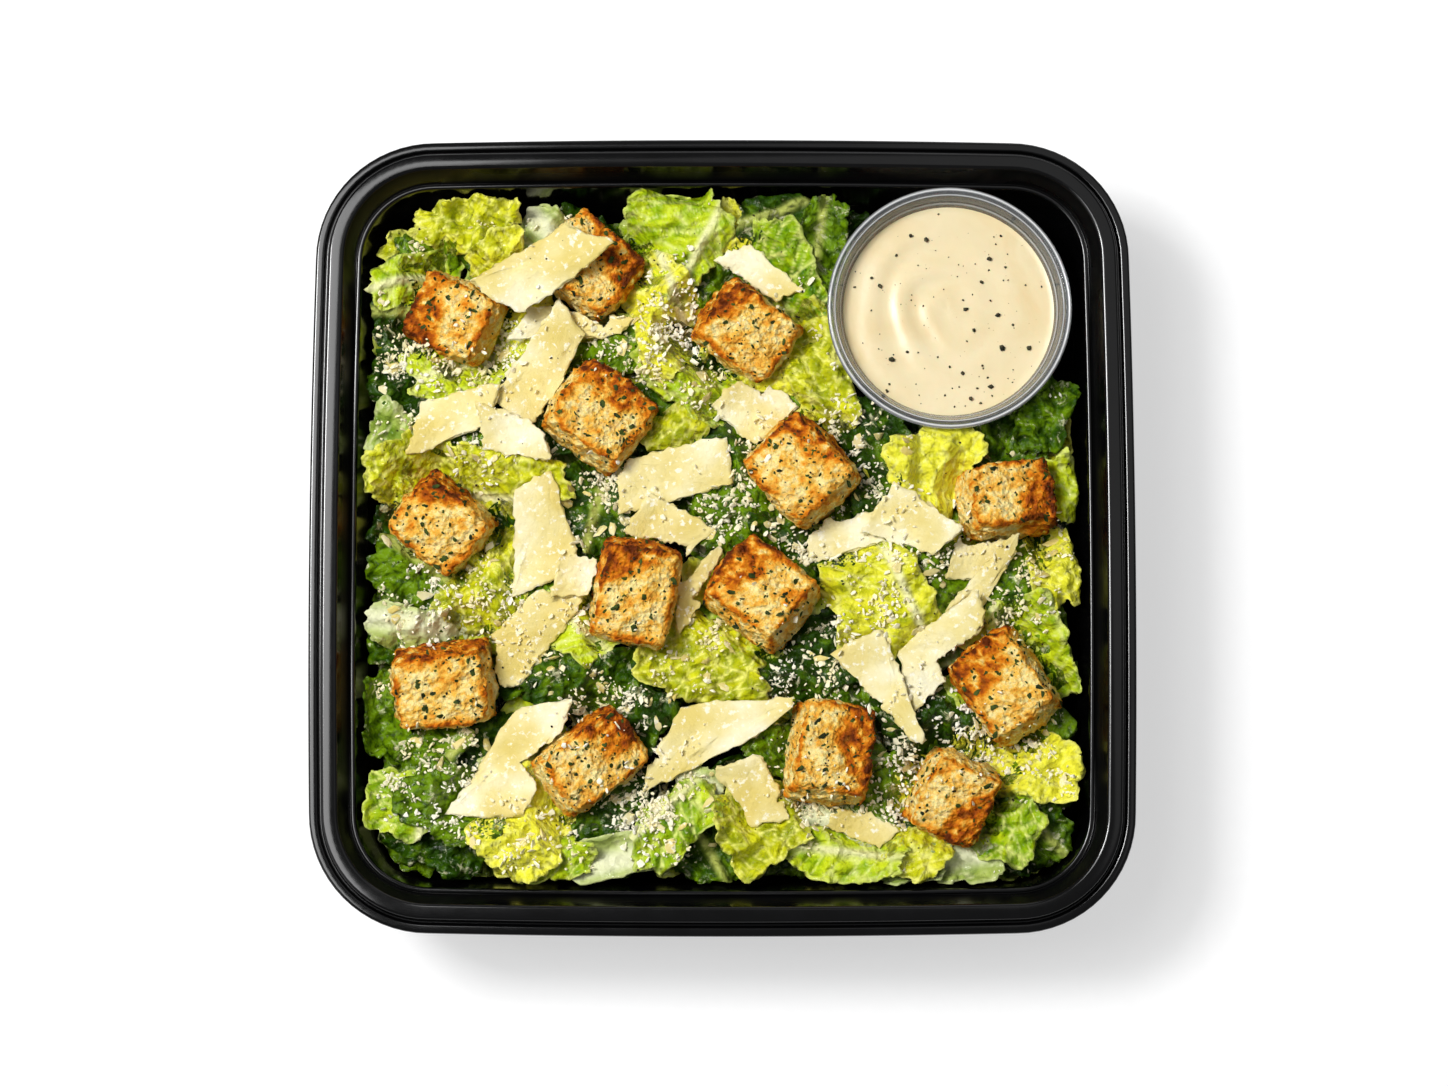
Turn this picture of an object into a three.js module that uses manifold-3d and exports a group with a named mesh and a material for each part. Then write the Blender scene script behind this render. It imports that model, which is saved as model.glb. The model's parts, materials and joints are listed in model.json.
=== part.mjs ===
// A caesar salad in a square black takeaway tray: chopped romaine, herb croutons, shaved parmesan
// and a clear pot of dressing that stands in the far right corner.
// Millimetres, +Z up, +Y away from the viewer, origin under the middle of the tray's foot.
import * as THREE from "three";
import { mergeVertices } from "three/addons/utils/BufferGeometryUtils.js";
import Module from "manifold-3d";

const wasm = await Module();
wasm.setup();

// Driving dimensions of the tray.
const TRAY_WIDTH = 208;
const TRAY_DEPTH = 202;
const TRAY_HEIGHT = 50;
const CORNER_RADIUS = 30;
const SIDE_BOW = 0.8; // how far the middle of a side stands out past its ends
const SHEET = 0.9; // thickness of the moulded sheet
const CORNER_STEPS = 6;
const SIDE_STEPS = 2;

// Driving dimensions of the dressing pot and its fill.
const POT = { x: 57.5, y: 57.5, floor: 18, height: 31, rimRadius: 31, footRadius: 22.5, wall: 0.7 };
const POT_STEPS = 32;
const FILL_DEPTH = 6; // from the pot's rim down to the dressing
const SWIRL = { depth: 0.55, pitch: 8.5, rings: 7 };

// The salad's bed.
const BED_GAP = 0.4; // between the bed and the tray
const BED_EDGE_HEIGHT = 34;
const BED_MIDDLE_HEIGHT = 41;
const LEAF_THICKNESS = 1.1;
const LEAF_SPOKES = 8;
const LONG_LEAF = 29; // a piece this long bends twice between its middle and its edge
const LEAF_DIP = 0.9; // of a leaf's lowest corner into the bed
const TOPPING_GAP = 0.4; // between a topping and what it rests on
const CUT_TOP = 90; // higher than anything on the salad

// A repeatable run of draws between 0 and 1.
function seeded(seed) {
  let state = (seed * 7919 + 17) >>> 0;
  return () => {
    state = (Math.imul(state, 1664525) + 1013904223) >>> 0;
    return state / 4294967296;
  };
}

const clamp = (value, low, high) => Math.min(high, Math.max(low, value));
const radians = (degrees) => (degrees * Math.PI) / 180;

// A closed mesh from points and triangles.
function meshGeometry(points, faces) {
  const geometry = new THREE.BufferGeometry();
  geometry.setAttribute("position", new THREE.Float32BufferAttribute(points.flat(), 3));
  geometry.setIndex(faces.flat());
  return geometry;
}

function toSolid(geometry) {
  const bare = new THREE.BufferGeometry();
  bare.setAttribute("position", geometry.getAttribute("position"));
  bare.setIndex(geometry.getIndex());
  const merged = mergeVertices(bare, 1e-4);
  return new wasm.Manifold(
    new wasm.Mesh({
      numProp: 3,
      vertProperties: new Float32Array(merged.attributes.position.array),
      triVerts: new Uint32Array(merged.index.array),
    }),
  );
}

function toGeometry(solid) {
  const { vertProperties, triVerts } = solid.getMesh();
  const geometry = new THREE.BufferGeometry();
  geometry.setAttribute("position", new THREE.BufferAttribute(new Float32Array(vertProperties), 3));
  geometry.setIndex(new THREE.BufferAttribute(new Uint32Array(triVerts), 1));
  return geometry;
}

// The largest piece of a solid, without loose scraps and sealed hollows.
function largestPiece(solid) {
  const pieces = solid.decompose();
  return pieces.reduce((best, piece) => (piece.volume() > best.volume() ? piece : best));
}

// The tray's plan outline, moved inwards by inset: round corners joined by slightly bowed sides.
function trayOutline(inset) {
  const radius = Math.max(CORNER_RADIUS - inset, 0.5);
  const halfX = TRAY_WIDTH / 2 - SIDE_BOW - inset - radius;
  const halfY = TRAY_DEPTH / 2 - SIDE_BOW - inset - radius;
  const points = [];
  const signs = [[1, 1], [-1, 1], [-1, -1], [1, -1]];
  signs.forEach(([sx, sy], corner) => {
    for (let step = 0; step <= CORNER_STEPS; step++) {
      const turn = (Math.PI / 2) * (corner + step / CORNER_STEPS);
      points.push([sx * halfX + radius * Math.cos(turn), sy * halfY + radius * Math.sin(turn)]);
    }
    const [fromX, fromY] = points[points.length - 1];
    const [nextX, nextY] = signs[(corner + 1) % signs.length];
    const turn = (Math.PI / 2) * (corner + 1);
    const toX = nextX * halfX + radius * Math.cos(turn);
    const toY = nextY * halfY + radius * Math.sin(turn);
    for (let step = 1; step < SIDE_STEPS; step++) {
      const t = step / SIDE_STEPS;
      const bow = SIDE_BOW * 4 * t * (1 - t);
      points.push([
        fromX + (toX - fromX) * t + bow * Math.cos(turn),
        fromY + (toY - fromY) * t + bow * Math.sin(turn),
      ]);
    }
  });
  return points;
}

// Sweeps a profile round the tray's outline. It starts and ends in the middle, on flat floors.
function sweptRound(profile) {
  const rings = profile.map(([inset, z]) => trayOutline(inset).map(([x, y]) => [x, y, z]));
  const count = rings[0].length;
  const points = rings.flat();
  const faces = [];
  for (let ring = 0; ring + 1 < rings.length; ring++) {
    for (let k = 0; k < count; k++) {
      const next = (k + 1) % count;
      const [a, b] = [ring * count + k, ring * count + next];
      const [c, d] = [a + count, b + count];
      faces.push([a, c, d], [a, d, b]);
    }
  }
  const lastRing = (rings.length - 1) * count;
  const first = points.push([0, 0, profile[0][1]]) - 1;
  const last = points.push([0, 0, profile[profile.length - 1][1]]) - 1;
  for (let k = 0; k < count; k++) {
    const next = (k + 1) % count;
    faces.push([first, k, next], [last, lastRing + next, lastRing + k]);
  }
  return meshGeometry(points, faces);
}

// The upper face of the moulded sheet, from the floor out over the ledge, the raised bead and the
// lid groove to the skirt's lower edge. Each point is its inset from the outline and its height.
const TRAY_FACE = [
  [27.5, 1.7],
  [26.5, SHEET],
  [22.5, SHEET],
  [19.4, 3.0],
  [17.4, 7.0],
  [11.4, 43.4],
  [10.2, 44.2],
  [7.0, TRAY_HEIGHT - 0.5],
  [6.5, TRAY_HEIGHT],
  [3.8, TRAY_HEIGHT],
  [3.4, TRAY_HEIGHT - 0.4],
  [3.0, 46.6],
  [2.4, 46.6],
  [2.1, 47.9],
  [0.1, 47.8],
  [0, 45],
];

// The lower face of a sheet: each point of the upper face moved down its own normal.
function lowerFace(face, thickness) {
  return face.map(([inset, z], i) => {
    const [fromInset, fromZ] = face[Math.max(i - 1, 0)];
    const [toInset, toZ] = face[Math.min(i + 1, face.length - 1)];
    const before = new THREE.Vector2(fromInset - inset, z - fromZ).normalize();
    const after = new THREE.Vector2(inset - toInset, toZ - z).normalize();
    if (i === 0) return [inset, z - thickness];
    if (i === face.length - 1) return [inset + thickness, z];
    const normal = new THREE.Vector2(before.y + after.y, -before.x - after.x).normalize();
    const reach = thickness / Math.max(0.6, normal.x * before.y - normal.y * before.x);
    return [inset - normal.x * reach, z + normal.y * reach];
  });
}

const TRAY_UNDERSIDE = lowerFace(TRAY_FACE, SHEET).map(([inset, z]) => [inset, Math.max(z, 0)]);
const trayGeometry = sweptRound([...TRAY_FACE, ...TRAY_UNDERSIDE.reverse()]);

// The inset of the tray's inner wall at a height, in its straight part and over the rim.
function wallInset(z) {
  const [low, high] = [TRAY_FACE[4], TRAY_FACE[5]];
  return low[0] + ((high[0] - low[0]) * (z - low[1])) / (high[1] - low[1]);
}

// Everything inside the tray's wall, less the gap, and the air over it.
const CAVITY = toSolid(
  sweptRound([
    [21.5 + BED_GAP, 2.0 + BED_GAP],
    [wallInset(7) + BED_GAP + 0.6, 7],
    [wallInset(43.2) + BED_GAP, 43.2],
    [10.2 + BED_GAP, 44.8],
    [7.2 + BED_GAP, TRAY_HEIGHT],
    [7.2 + BED_GAP, CUT_TOP],
  ].reverse()),
);

// The pot's outer radius at a height over its foot, under the rim.
const potRadius = (z) => POT.footRadius + ((POT.rimRadius - 2.4 - POT.footRadius) * z) / POT.height;

// The pot: a tapered wall with a stacking step near the top and a rolled rim.
const POT_PROFILE = [
  [0, 0.6],
  [POT.footRadius - 3, 0.6],
  [POT.footRadius - 2, 0],
  [POT.footRadius, 0],
  [potRadius(POT.height - 4.5), POT.height - 4.5],
  [potRadius(POT.height - 4) + 0.7, POT.height - 4],
  [POT.rimRadius - 1.4, POT.height - 1.6],
  [POT.rimRadius, POT.height - 1.6],
  [POT.rimRadius - 0.3, POT.height],
  [POT.rimRadius - 2.0, POT.height],
  [POT.rimRadius - 2.4, POT.height - 0.6],
  [potRadius(POT.height - 4) + 0.7 - POT.wall, POT.height - 3.6],
  [potRadius(POT.height - 5) - POT.wall, POT.height - 4.7],
  [POT.footRadius - POT.wall, 1.5],
  [0, 1.5],
];

const potInnerRadius = (z) => potRadius(z) - POT.wall;
const latheProfile = (points) => points.map(([r, z]) => new THREE.Vector2(r, z));

// A lathe turns about Y, so it is stood up on Z.
function turned(points, steps) {
  const geometry = new THREE.LatheGeometry(latheProfile(points), steps);
  geometry.rotateX(Math.PI / 2);
  return geometry;
}

const potGeometry = turned(POT_PROFILE, POT_STEPS);

// The dressing: a plug that fits the pot, with a soft spiral left on top by the spoon.
function dressingGeometry() {
  const top = POT.height - FILL_DEPTH;
  const wallGap = 0.3;
  const edge = potInnerRadius(top) - wallGap;
  const foot = potInnerRadius(2) - wallGap;
  const points = [[0, 0, top]];
  const faces = [];
  for (let ring = 1; ring <= SWIRL.rings; ring++) {
    const radius = (edge * ring) / SWIRL.rings;
    const fade = Math.sin(Math.PI * clamp(radius / edge, 0, 1));
    for (let k = 0; k < POT_STEPS; k++) {
      const turn = (2 * Math.PI * k) / POT_STEPS;
      const wave = Math.cos((2 * Math.PI * radius) / SWIRL.pitch - turn);
      const z = top + SWIRL.depth * fade * wave;
      points.push([radius * Math.cos(turn), radius * Math.sin(turn), z]);
    }
  }
  for (let k = 0; k < POT_STEPS; k++) {
    const turn = (2 * Math.PI * k) / POT_STEPS;
    points.push([foot * Math.cos(turn), foot * Math.sin(turn), 2]);
  }
  const bottom = points.push([0, 0, 2]) - 1;
  for (let k = 0; k < POT_STEPS; k++) {
    const next = (k + 1) % POT_STEPS;
    faces.push([0, 1 + k, 1 + next]);
    for (let ring = 0; ring < SWIRL.rings; ring++) {
      const [a, b] = [1 + ring * POT_STEPS + k, 1 + ring * POT_STEPS + next];
      faces.push([a, a + POT_STEPS, b + POT_STEPS], [a, b + POT_STEPS, b]);
    }
    const lowest = 1 + SWIRL.rings * POT_STEPS;
    faces.push([bottom, lowest + next, lowest + k]);
  }
  return meshGeometry(points, faces);
}

// How high the bed of lettuce stands at a place: a low dome with the heap's lumps.
function bedHeight(x, y) {
  const across = Math.abs(x) / (TRAY_WIDTH / 2 - 14);
  const along = Math.abs(y) / (TRAY_DEPTH / 2 - 14);
  const out = clamp(Math.pow(across ** 4 + along ** 4, 1 / 4), 0, 1);
  const dome = BED_EDGE_HEIGHT + (BED_MIDDLE_HEIGHT - BED_EDGE_HEIGHT) * (1 - out * out);
  const lumps = 1.1 * Math.sin(x / 8.5 + 0.6) * Math.cos(y / 9.5 - 0.4) + 0.7 * Math.sin((x + y) / 6);
  return dome + lumps;
}

// The bare bed: it follows the tray's wall up to its shoulder, then the heap's top.
function bedGeometry() {
  const rings = [];
  const shoulder = 30;
  for (const [inset, z] of [[24, 2.5], [wallInset(8) + 1.2, 8], [wallInset(shoulder) + 1.5, shoulder]]) {
    rings.push(trayOutline(inset).map(([x, y]) => [x, y, z]));
  }
  for (const inset of [18, 27, 40, 55, 71, 87]) {
    rings.push(trayOutline(Math.min(inset, 29)).map(([x, y]) => {
      const shrink = inset > 29 ? (101 - inset) / (101 - 29) : 1;
      return [x * shrink, y * shrink, bedHeight(x * shrink, y * shrink)];
    }));
  }
  const count = rings[0].length;
  const points = rings.flat();
  const faces = [];
  for (let ring = 0; ring + 1 < rings.length; ring++) {
    for (let k = 0; k < count; k++) {
      const next = (k + 1) % count;
      const [a, b] = [ring * count + k, ring * count + next];
      faces.push([a, b, b + count], [a, b + count, a + count]);
    }
  }
  const under = points.push([0, 0, 2.5]) - 1;
  const over = points.push([0, 0, bedHeight(0, 0)]) - 1;
  const lastRing = (rings.length - 1) * count;
  for (let k = 0; k < count; k++) {
    const next = (k + 1) % count;
    faces.push([under, next, k], [over, lastRing + k, lastRing + next]);
  }
  return meshGeometry(points, faces);
}

// How far a piece's cut edge lies from its middle in a direction, for a piece of unit size: a
// polygon of so many sides with soft corners.
function cutEdge(sides, turn) {
  const step = (2 * Math.PI) / sides;
  const offset = (((turn % step) + step) % step) - step / 2;
  const polygon = Math.cos(step / 2) / Math.cos(offset);
  return 0.82 * polygon + 0.18 * Math.cos(step / 4);
}

// A thin closed sheet. Both faces have the same triangles, and a band joins them at the edge.
function sheetGeometry({ spokes, rings, edge, height, thickness }) {
  const points = [];
  for (const side of [0.5, -0.5]) {
    points.push([0, 0, height(0, 0) + side * thickness]);
    for (let ring = 1; ring <= rings; ring++) {
      for (let k = 0; k < spokes; k++) {
        const [x, y] = edge(k).map((reach) => (reach * ring) / rings);
        points.push([x, y, height(x, y) + side * thickness]);
      }
    }
  }
  const faces = [];
  const half = points.length / 2;
  for (let k = 0; k < spokes; k++) {
    const next = (k + 1) % spokes;
    faces.push([0, 1 + k, 1 + next], [half, half + 1 + next, half + 1 + k]);
    for (let ring = 0; ring + 1 < rings; ring++) {
      const [a, b] = [1 + ring * spokes + k, 1 + ring * spokes + next];
      const [c, d] = [a + spokes, b + spokes];
      faces.push([a, c, d], [a, d, b]);
      faces.push([half + a, half + d, half + c], [half + a, half + b, half + d]);
    }
    const [a, b] = [1 + (rings - 1) * spokes + k, 1 + (rings - 1) * spokes + next];
    faces.push([a, half + a, half + b], [a, half + b, b]);
  }
  return meshGeometry(points, faces);
}

// The pieces of romaine that show: place, length and width, the heading of the length, the cupping
// of the blade, and the tilt of its far end.
const LEAVES = [
  // The far edge, from left to right.
  [-66, 77, 25, 14, 8, 2, 8], [-44, 80, 18, 14, -40, 2, 12],
  [-31, 78, 19, 11, -35, 1, -10], [-14, 79, 30, 25, 15, -1, 18], [-19, 71, 17, 9, -45, 1, 10],
  [-5, 67, 19, 15, 30, 1, -8], [14, 82, 19, 10, 25, 1, 8], [6, 73, 15, 10, -60, 2, -8],
  [24, 76, 24, 15, 100, 2, 10], [16, 66, 27, 14, -65, 2, -8],
  // The left side down to the middle.
  [-80, 66, 20, 11, 15, 2, -8], [-58, 68, 15, 13, 20, 2, 6],
  [-83, 41, 20, 17, -50, 2, 12], [-63, 43, 30, 15, 20, 2, -6],
  [-81, 14, 23, 18, 30, 2, -10], [-56, 14, 31, 15, -10, 2, 8], [-31, 11, 23, 19, 60, -1, 14],
  // The middle.
  [-29, 47, 19, 12, 15, 1, 6], [-15, 57, 31, 17, -75, 2, 10], [-8, 38, 31, 17, -40, 2, -8],
  [23, 40, 28, 17, -75, 2, 10], [37, 32, 18, 12, 20, 1, -6], [40, 19, 22, 14, 80, 1, 8],
  [4, 6, 24, 20, -30, 1, 4], [18, -4, 20, 14, -40, 1, -6], [0, 24, 21, 16, 10, 1, 6],
  // The right side down to the middle.
  [52, 19, 24, 19, 30, 2, 8], [78, 28, 25, 17, 20, 1, -8],
  [86, -8, 21, 12, -70, 2, 12], [54, -11, 19, 15, -60, 1, -6], [73, -13, 23, 15, 60, 2, -8],
  [38, -16, 27, 24, 10, 3, 6], [84, -28, 25, 15, -70, 2, -10],
  // The near half, left.
  [-79, -9, 25, 19, -35, 2, -8], [-58, -9, 29, 16, 55, 2, 8], [-80, -24, 21, 12, -10, 1, -8],
  [-37, -24, 21, 15, -50, 2, 6], [-34, -37, 31, 19, -10, 1, -4], [-85, -44, 21, 13, 90, 1, 8],
  [-80, -66, 19, 16, 10, 2, -10], [-67, -57, 24, 17, 20, 2, 8], [-71, -78, 19, 15, -40, 1, -12],
  // The near half, middle.
  [-2, -33, 31, 21, -15, 3, 6], [25, -31, 22, 17, 30, 1, -6], [-15, -53, 20, 14, 60, 1, 6],
  [-49, -76, 25, 19, 60, 2, -8], [-27, -72, 21, 21, 30, 1, 8], [-23, -83, 27, 10, 8, 1, 6],
  [-13, -72, 23, 15, 40, 2, 8], [-3, -79, 19, 17, -60, 1, -8], [9, -77, 25, 17, -65, 2, -12],
  [25, -71, 27, 13, -20, 2, 6], [28, -83, 31, 11, -8, 2, 6],
  // The near half, right.
  [48, -47, 23, 17, -50, 1, -4], [42, -63, 19, 15, 70, 1, 6], [79, -58, 28, 19, 5, 2, 10],
  [79, -74, 19, 15, -45, 2, -8], [60, -79, 14, 11, 20, 2, 8],
  [67, -80, 21, 15, 60, 1, -8], [46, -83, 18, 12, 0, 1, 0],
];

// Coarse crumbs of grated parmesan lie on every fourth leaf.
const CRUMBED_LEAF = 4;
const CRUMB_PLACES = [[0.3, 0.3], [-0.25, -0.3]];

// The form of one piece of romaine: a cut sheet, cupped and blistered in its own way.
function leafForm([, , long, wide, , cup], index) {
  const draw = seeded(index + 1);
  const sides = 4 + Math.floor(draw() * 3);
  const ripple = 0.9 + draw();
  const [phaseX, phaseY] = [draw() * 6, draw() * 6];
  const ragged = Array.from({ length: LEAF_SPOKES }, () => 0.9 + 0.25 * draw());
  const [halfLong, halfWide] = [long / 2, wide / 2];
  return {
    spokes: LEAF_SPOKES,
    rings: long >= LONG_LEAF ? 2 : 1,
    thickness: LEAF_THICKNESS,
    edge: (k) => {
      const turn = (2 * Math.PI * k) / LEAF_SPOKES;
      const reach = 1.12 * cutEdge(sides, turn) * ragged[k];
      return [halfLong * reach * Math.cos(turn), halfWide * reach * Math.sin(turn)];
    },
    height: (a, b) =>
      cup * ((b / halfWide) ** 2 - 0.5 * (a / halfLong) ** 2) +
      ripple * Math.sin(a / 3.6 + phaseX) * Math.cos(b / 3.1 + phaseY),
  };
}

function crumbGeometry([long, wide], [partLong, partWide], height, draw) {
  const crumb = new THREE.OctahedronGeometry(1.2 + 0.5 * draw(), 0);
  crumb.rotateX(draw() * 3);
  crumb.rotateY(draw() * 3);
  const [a, b] = [(long / 2) * partLong, (wide / 2) * partWide];
  crumb.translate(a, b, height(a, b) + LEAF_THICKNESS / 2);
  crumb.deleteAttribute("normal");
  crumb.deleteAttribute("uv");
  return mergeVertices(crumb, 1e-3);
}

// A leaf and the crumbs on it, dropped until the leaf's lowest corner is pressed into the bed.
function leafSolids(leaf, index) {
  const [x, y, long, wide, heading, , tilt] = leaf;
  const form = leafForm(leaf, index);
  const draw = seeded(index + 1501);
  const places = index % CRUMBED_LEAF === 0 ? CRUMB_PLACES : [];
  const blade = sheetGeometry(form);
  const crumbs = places.map((place) => crumbGeometry([long, wide], place, form.height, draw));
  const parts = [blade, ...crumbs];
  parts.forEach((part) => {
    part.rotateY(radians(-tilt));
    part.rotateZ(radians(heading));
    part.translate(x, y, 0);
  });
  const corners = blade.attributes.position;
  let clearance = Infinity;
  for (let i = 0; i < corners.count; i++) {
    const over = corners.getZ(i) - bedHeight(corners.getX(i), corners.getY(i));
    clearance = Math.min(clearance, over);
  }
  parts.forEach((part) => part.translate(0, 0, -clearance - LEAF_DIP));
  return parts.map(toSolid);
}

// Croutons: place, the three sizes, heading, and the tilt about the piece's own length and width.
const CROUTONS = [
  [-68, 56, 22, 20, 17, -25, 10, -8], [-34, 69, 24, 21, 16, -38, -8, 6],
  [6, 52, 24, 20, 17, -36, 6, 10], [-31, 30, 24, 22, 18, -36, -8, 6],
  [-71, 3, 23, 20, 17, -40, 12, 4], [20, 16, 25, 22, 18, -48, 8, -6],
  [72, 9, 24, 18, 17, 8, -8, 10], [-22, -15, 21, 27, 17, -10, 8, 6],
  [10, -15, 25, 22, 18, -38, -6, -10], [-70, -38, 26, 21, 18, 6, 14, -4],
  [-33, -57, 27, 19, 17, 38, 10, 8], [27, -55, 21, 26, 17, -8, -6, 10],
  [71, -38, 27, 21, 17, -57, 10, -6], [58, -66, 20, 22, 17, -24, 12, 8],
];
const CROUTON_SUNK = 2.5; // how far a crouton settles into the bed

// The faces of a toasted cube are drawn in towards soft corners and roughened by the crumb.
function croutonGeometry([, , sizeX, sizeY, sizeZ], index) {
  const draw = seeded(index + 301);
  const box = new THREE.BoxGeometry(sizeX, sizeY, sizeZ, 3, 3, 3);
  box.deleteAttribute("normal");
  box.deleteAttribute("uv");
  const geometry = mergeVertices(box, 1e-3);
  const place = geometry.attributes.position;
  const half = [sizeX / 2, sizeY / 2, sizeZ / 2];
  const softness = 8;
  const pinch = 0.06 + 0.1 * draw();
  for (let i = 0; i < place.count; i++) {
    const unit = half.map((size, axis) => place.getComponent(i, axis) / size);
    const reach = unit.reduce((sum, u) => sum + Math.abs(u) ** softness, 0) ** (1 / softness);
    const narrow = 1 - pinch * 0.5 * (unit[2] + 1) * 0.5;
    half.forEach((size, axis) => {
      const crag = (draw() - 0.6) * 1.0;
      const drawnIn = (unit[axis] / reach) * (axis < 2 ? narrow : 1);
      place.setComponent(i, axis, drawnIn * (size + crag));
    });
  }
  return geometry;
}

// Turns and places a crouton, or the block of air that it needs, as it lies in the bed.
function settle(geometry, [x, y, , , sizeZ, heading, tiltLong, tiltWide]) {
  geometry.rotateX(radians(tiltLong));
  geometry.rotateY(radians(tiltWide));
  geometry.rotateZ(radians(heading));
  geometry.translate(x, y, bedHeight(x, y) - CROUTON_SUNK + sizeZ / 2);
  return geometry;
}

// The air over and round a crouton, which nothing else may enter.
function croutonRoom(crouton) {
  const [, , sizeX, sizeY, sizeZ] = crouton;
  const above = 26;
  const grown = 2 * TOPPING_GAP + 0.5;
  const box = new THREE.BoxGeometry(sizeX + grown, sizeY + grown, sizeZ + grown + above);
  box.deleteAttribute("normal");
  box.deleteAttribute("uv");
  box.translate(0, 0, above / 2);
  return toSolid(settle(box, crouton));
}

// Parmesan shavings: place, length and width, heading, how broad the far end is beside the near
// end, how far the long edges are shifted along each other, the flake's own curl, and how far its
// far end and its left edge are tipped up.
const SHAVINGS = [
  [-45, 68, 28, 14, 32, 0.8, -0.5, 1.2, 10, 0], [-38, 54, 28, 9, -4, 0.5, 0.6, 1.6, 6, -4],
  [-46, 42, 31, 15, 62, 0.6, 0.4, 1.0, 4, 4], [-68, 30, 21, 12, 14, 0.8, 0.5, 0.8, 3, -4],
  [-53, 25, 17, 11, -15, 0.7, -0.4, 0.6, -3, 2], [-12, 15, 29, 13, 14, 0.85, 0.2, 0.8, 3, 3],
  [-46, 1, 27, 18, 100, 0.55, -0.2, 1.0, 4, -3], [-15, 0, 18, 16, -20, 0.75, 0.3, 0.8, -4, 6],
  [-6, -13, 19, 8, 52, 0.6, 0.7, 0.8, 8, 10], [9, 32, 18, 15, -40, 0.9, 0.2, 0.7, -4, 4],
  [10, 67, 19, 9, -38, 0.7, 0.5, 0.9, 6, 8], [32, 0, 20, 10, 12, 0.7, 0.3, 0.6, 3, -3],
  [48, 2, 20, 15, -25, 0.6, 0.2, 0.9, 4, 4], [64, -6, 12, 11, 0, 0.8, 0.3, 0.5, -4, -3],
  [66, -13, 29, 8, 55, 0.4, 0.9, 1.2, 7, 5], [56, -29, 26, 14, 42, 0.75, 0.5, 1.2, 8, -4],
  [42, -40, 29, 15, -58, 0.15, 0.1, 0.8, 4, 5], [-50, -26, 28, 15, 50, 0.7, -0.4, 1.0, 5, 4],
  [-52, -57, 31, 18, 62, 0.65, -0.5, 1.2, 4, -5], [0, -50, 31, 19, 16, 0.3, 0.7, 1.0, 4, -3],
  [8, -65, 18, 12, -60, 0.7, 0.3, 0.7, -6, 3], [-36, -11, 12, 11, 0, 0.8, 0.2, 0.5, -5, 4],
  [35, -73, 15, 9, -25, 0.6, 0.3, 0.6, -4, 3],
];
const SHAVING_THICKNESS = 0.9;
const FLAKE_LIFT = 5; // of a flake's middle over the bed, where it lies on leaves alone
const BROKEN_SHARE = 0.35;
const BROKEN_INTO = [1, 3, 2, 3]; // stretches of a flake's four edges

// A flake's outline: four edges that broke a little off straight, as [x, y] about its middle.
function flakeOutline([, , long, wide, , taper, shift], index) {
  const draw = seeded(index + 701);
  const uneven = (amount) => 1 + amount * (draw() - 0.5);
  const along = (shift * wide) / 2;
  const corners = [
    [long / 2 - along, (-wide * taper) / 2],
    [long / 2 + along, (wide * taper) / 2],
    [-long / 2 + along, wide / 2],
    [-long / 2 - along, -wide / 2],
  ].map(([a, b]) => [a * uneven(0.12), b * uneven(0.2)]);
  return corners.flatMap(([a, b], side) => {
    const [nextA, nextB] = corners[(side + 1) % corners.length];
    const stretches = BROKEN_INTO[side];
    return Array.from({ length: stretches }, (_, k) => {
      const bulge = k === 0 ? 1 : uneven(0.14) + 0.02;
      return [(a + ((nextA - a) * k) / stretches) * bulge, (b + ((nextB - b) * k) / stretches) * bulge];
    });
  });
}

const flakeHeight = ([, , long, wide, , , , curl]) => (a, b) =>
  curl * (4 * (a / long) ** 2 - 1.5 * (b / wide) ** 2 + 0.4 * Math.sin(a / 4) - 0.3);

function shavingSheet(shaving, index) {
  const outline = flakeOutline(shaving, index);
  return sheetGeometry({
    spokes: outline.length,
    rings: 2,
    thickness: SHAVING_THICKNESS,
    edge: (k) => outline[k],
    height: flakeHeight(shaving),
  });
}

// A flat-bottomed prism round a flake: from depth under the flake's middle up to height over it.
function flakePrism(shaving, index, { grown, depth, height }) {
  const outline = flakeOutline(shaving, index).map((point) => {
    const reach = Math.hypot(...point);
    return point.map((value) => value * (1 + grown / reach));
  });
  return sheetGeometry({
    spokes: outline.length,
    rings: 1,
    thickness: depth + height,
    edge: (k) => outline[k],
    height: () => (height - depth) / 2,
  });
}

// How far a flake's underside dips under its middle.
function flakeDip(shaving, index) {
  const height = flakeHeight(shaving);
  const dips = flakeOutline(shaving, index).flatMap(([a, b]) => [height(a, b), height(a / 2, b / 2)]);
  return SHAVING_THICKNESS / 2 - Math.min(0, height(0, 0), ...dips);
}

function lay(geometry, [x, y, , , heading, , , , tipLong, tipWide], z) {
  geometry.rotateX(radians(tipWide));
  geometry.rotateY(radians(-tipLong));
  geometry.rotateZ(radians(heading));
  geometry.translate(x, y, z);
  return geometry;
}

// How far above the bed a flake's middle lies: it is raised until it is clear of what lies there.
function restingHeight(shaving, index, others) {
  const step = 0.4;
  const depth = flakeDip(shaving, index) + 0.1;
  let z = bedHeight(shaving[0], shaving[1]) + FLAKE_LIFT;
  for (;;) {
    const room = toSolid(lay(flakePrism(shaving, index, { grown: 0.2, depth, height: 1.5 }), shaving, z));
    if (!others.some((piece) => piece.intersect(room).volume() > 0)) return z;
    z += step;
  }
}

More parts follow.
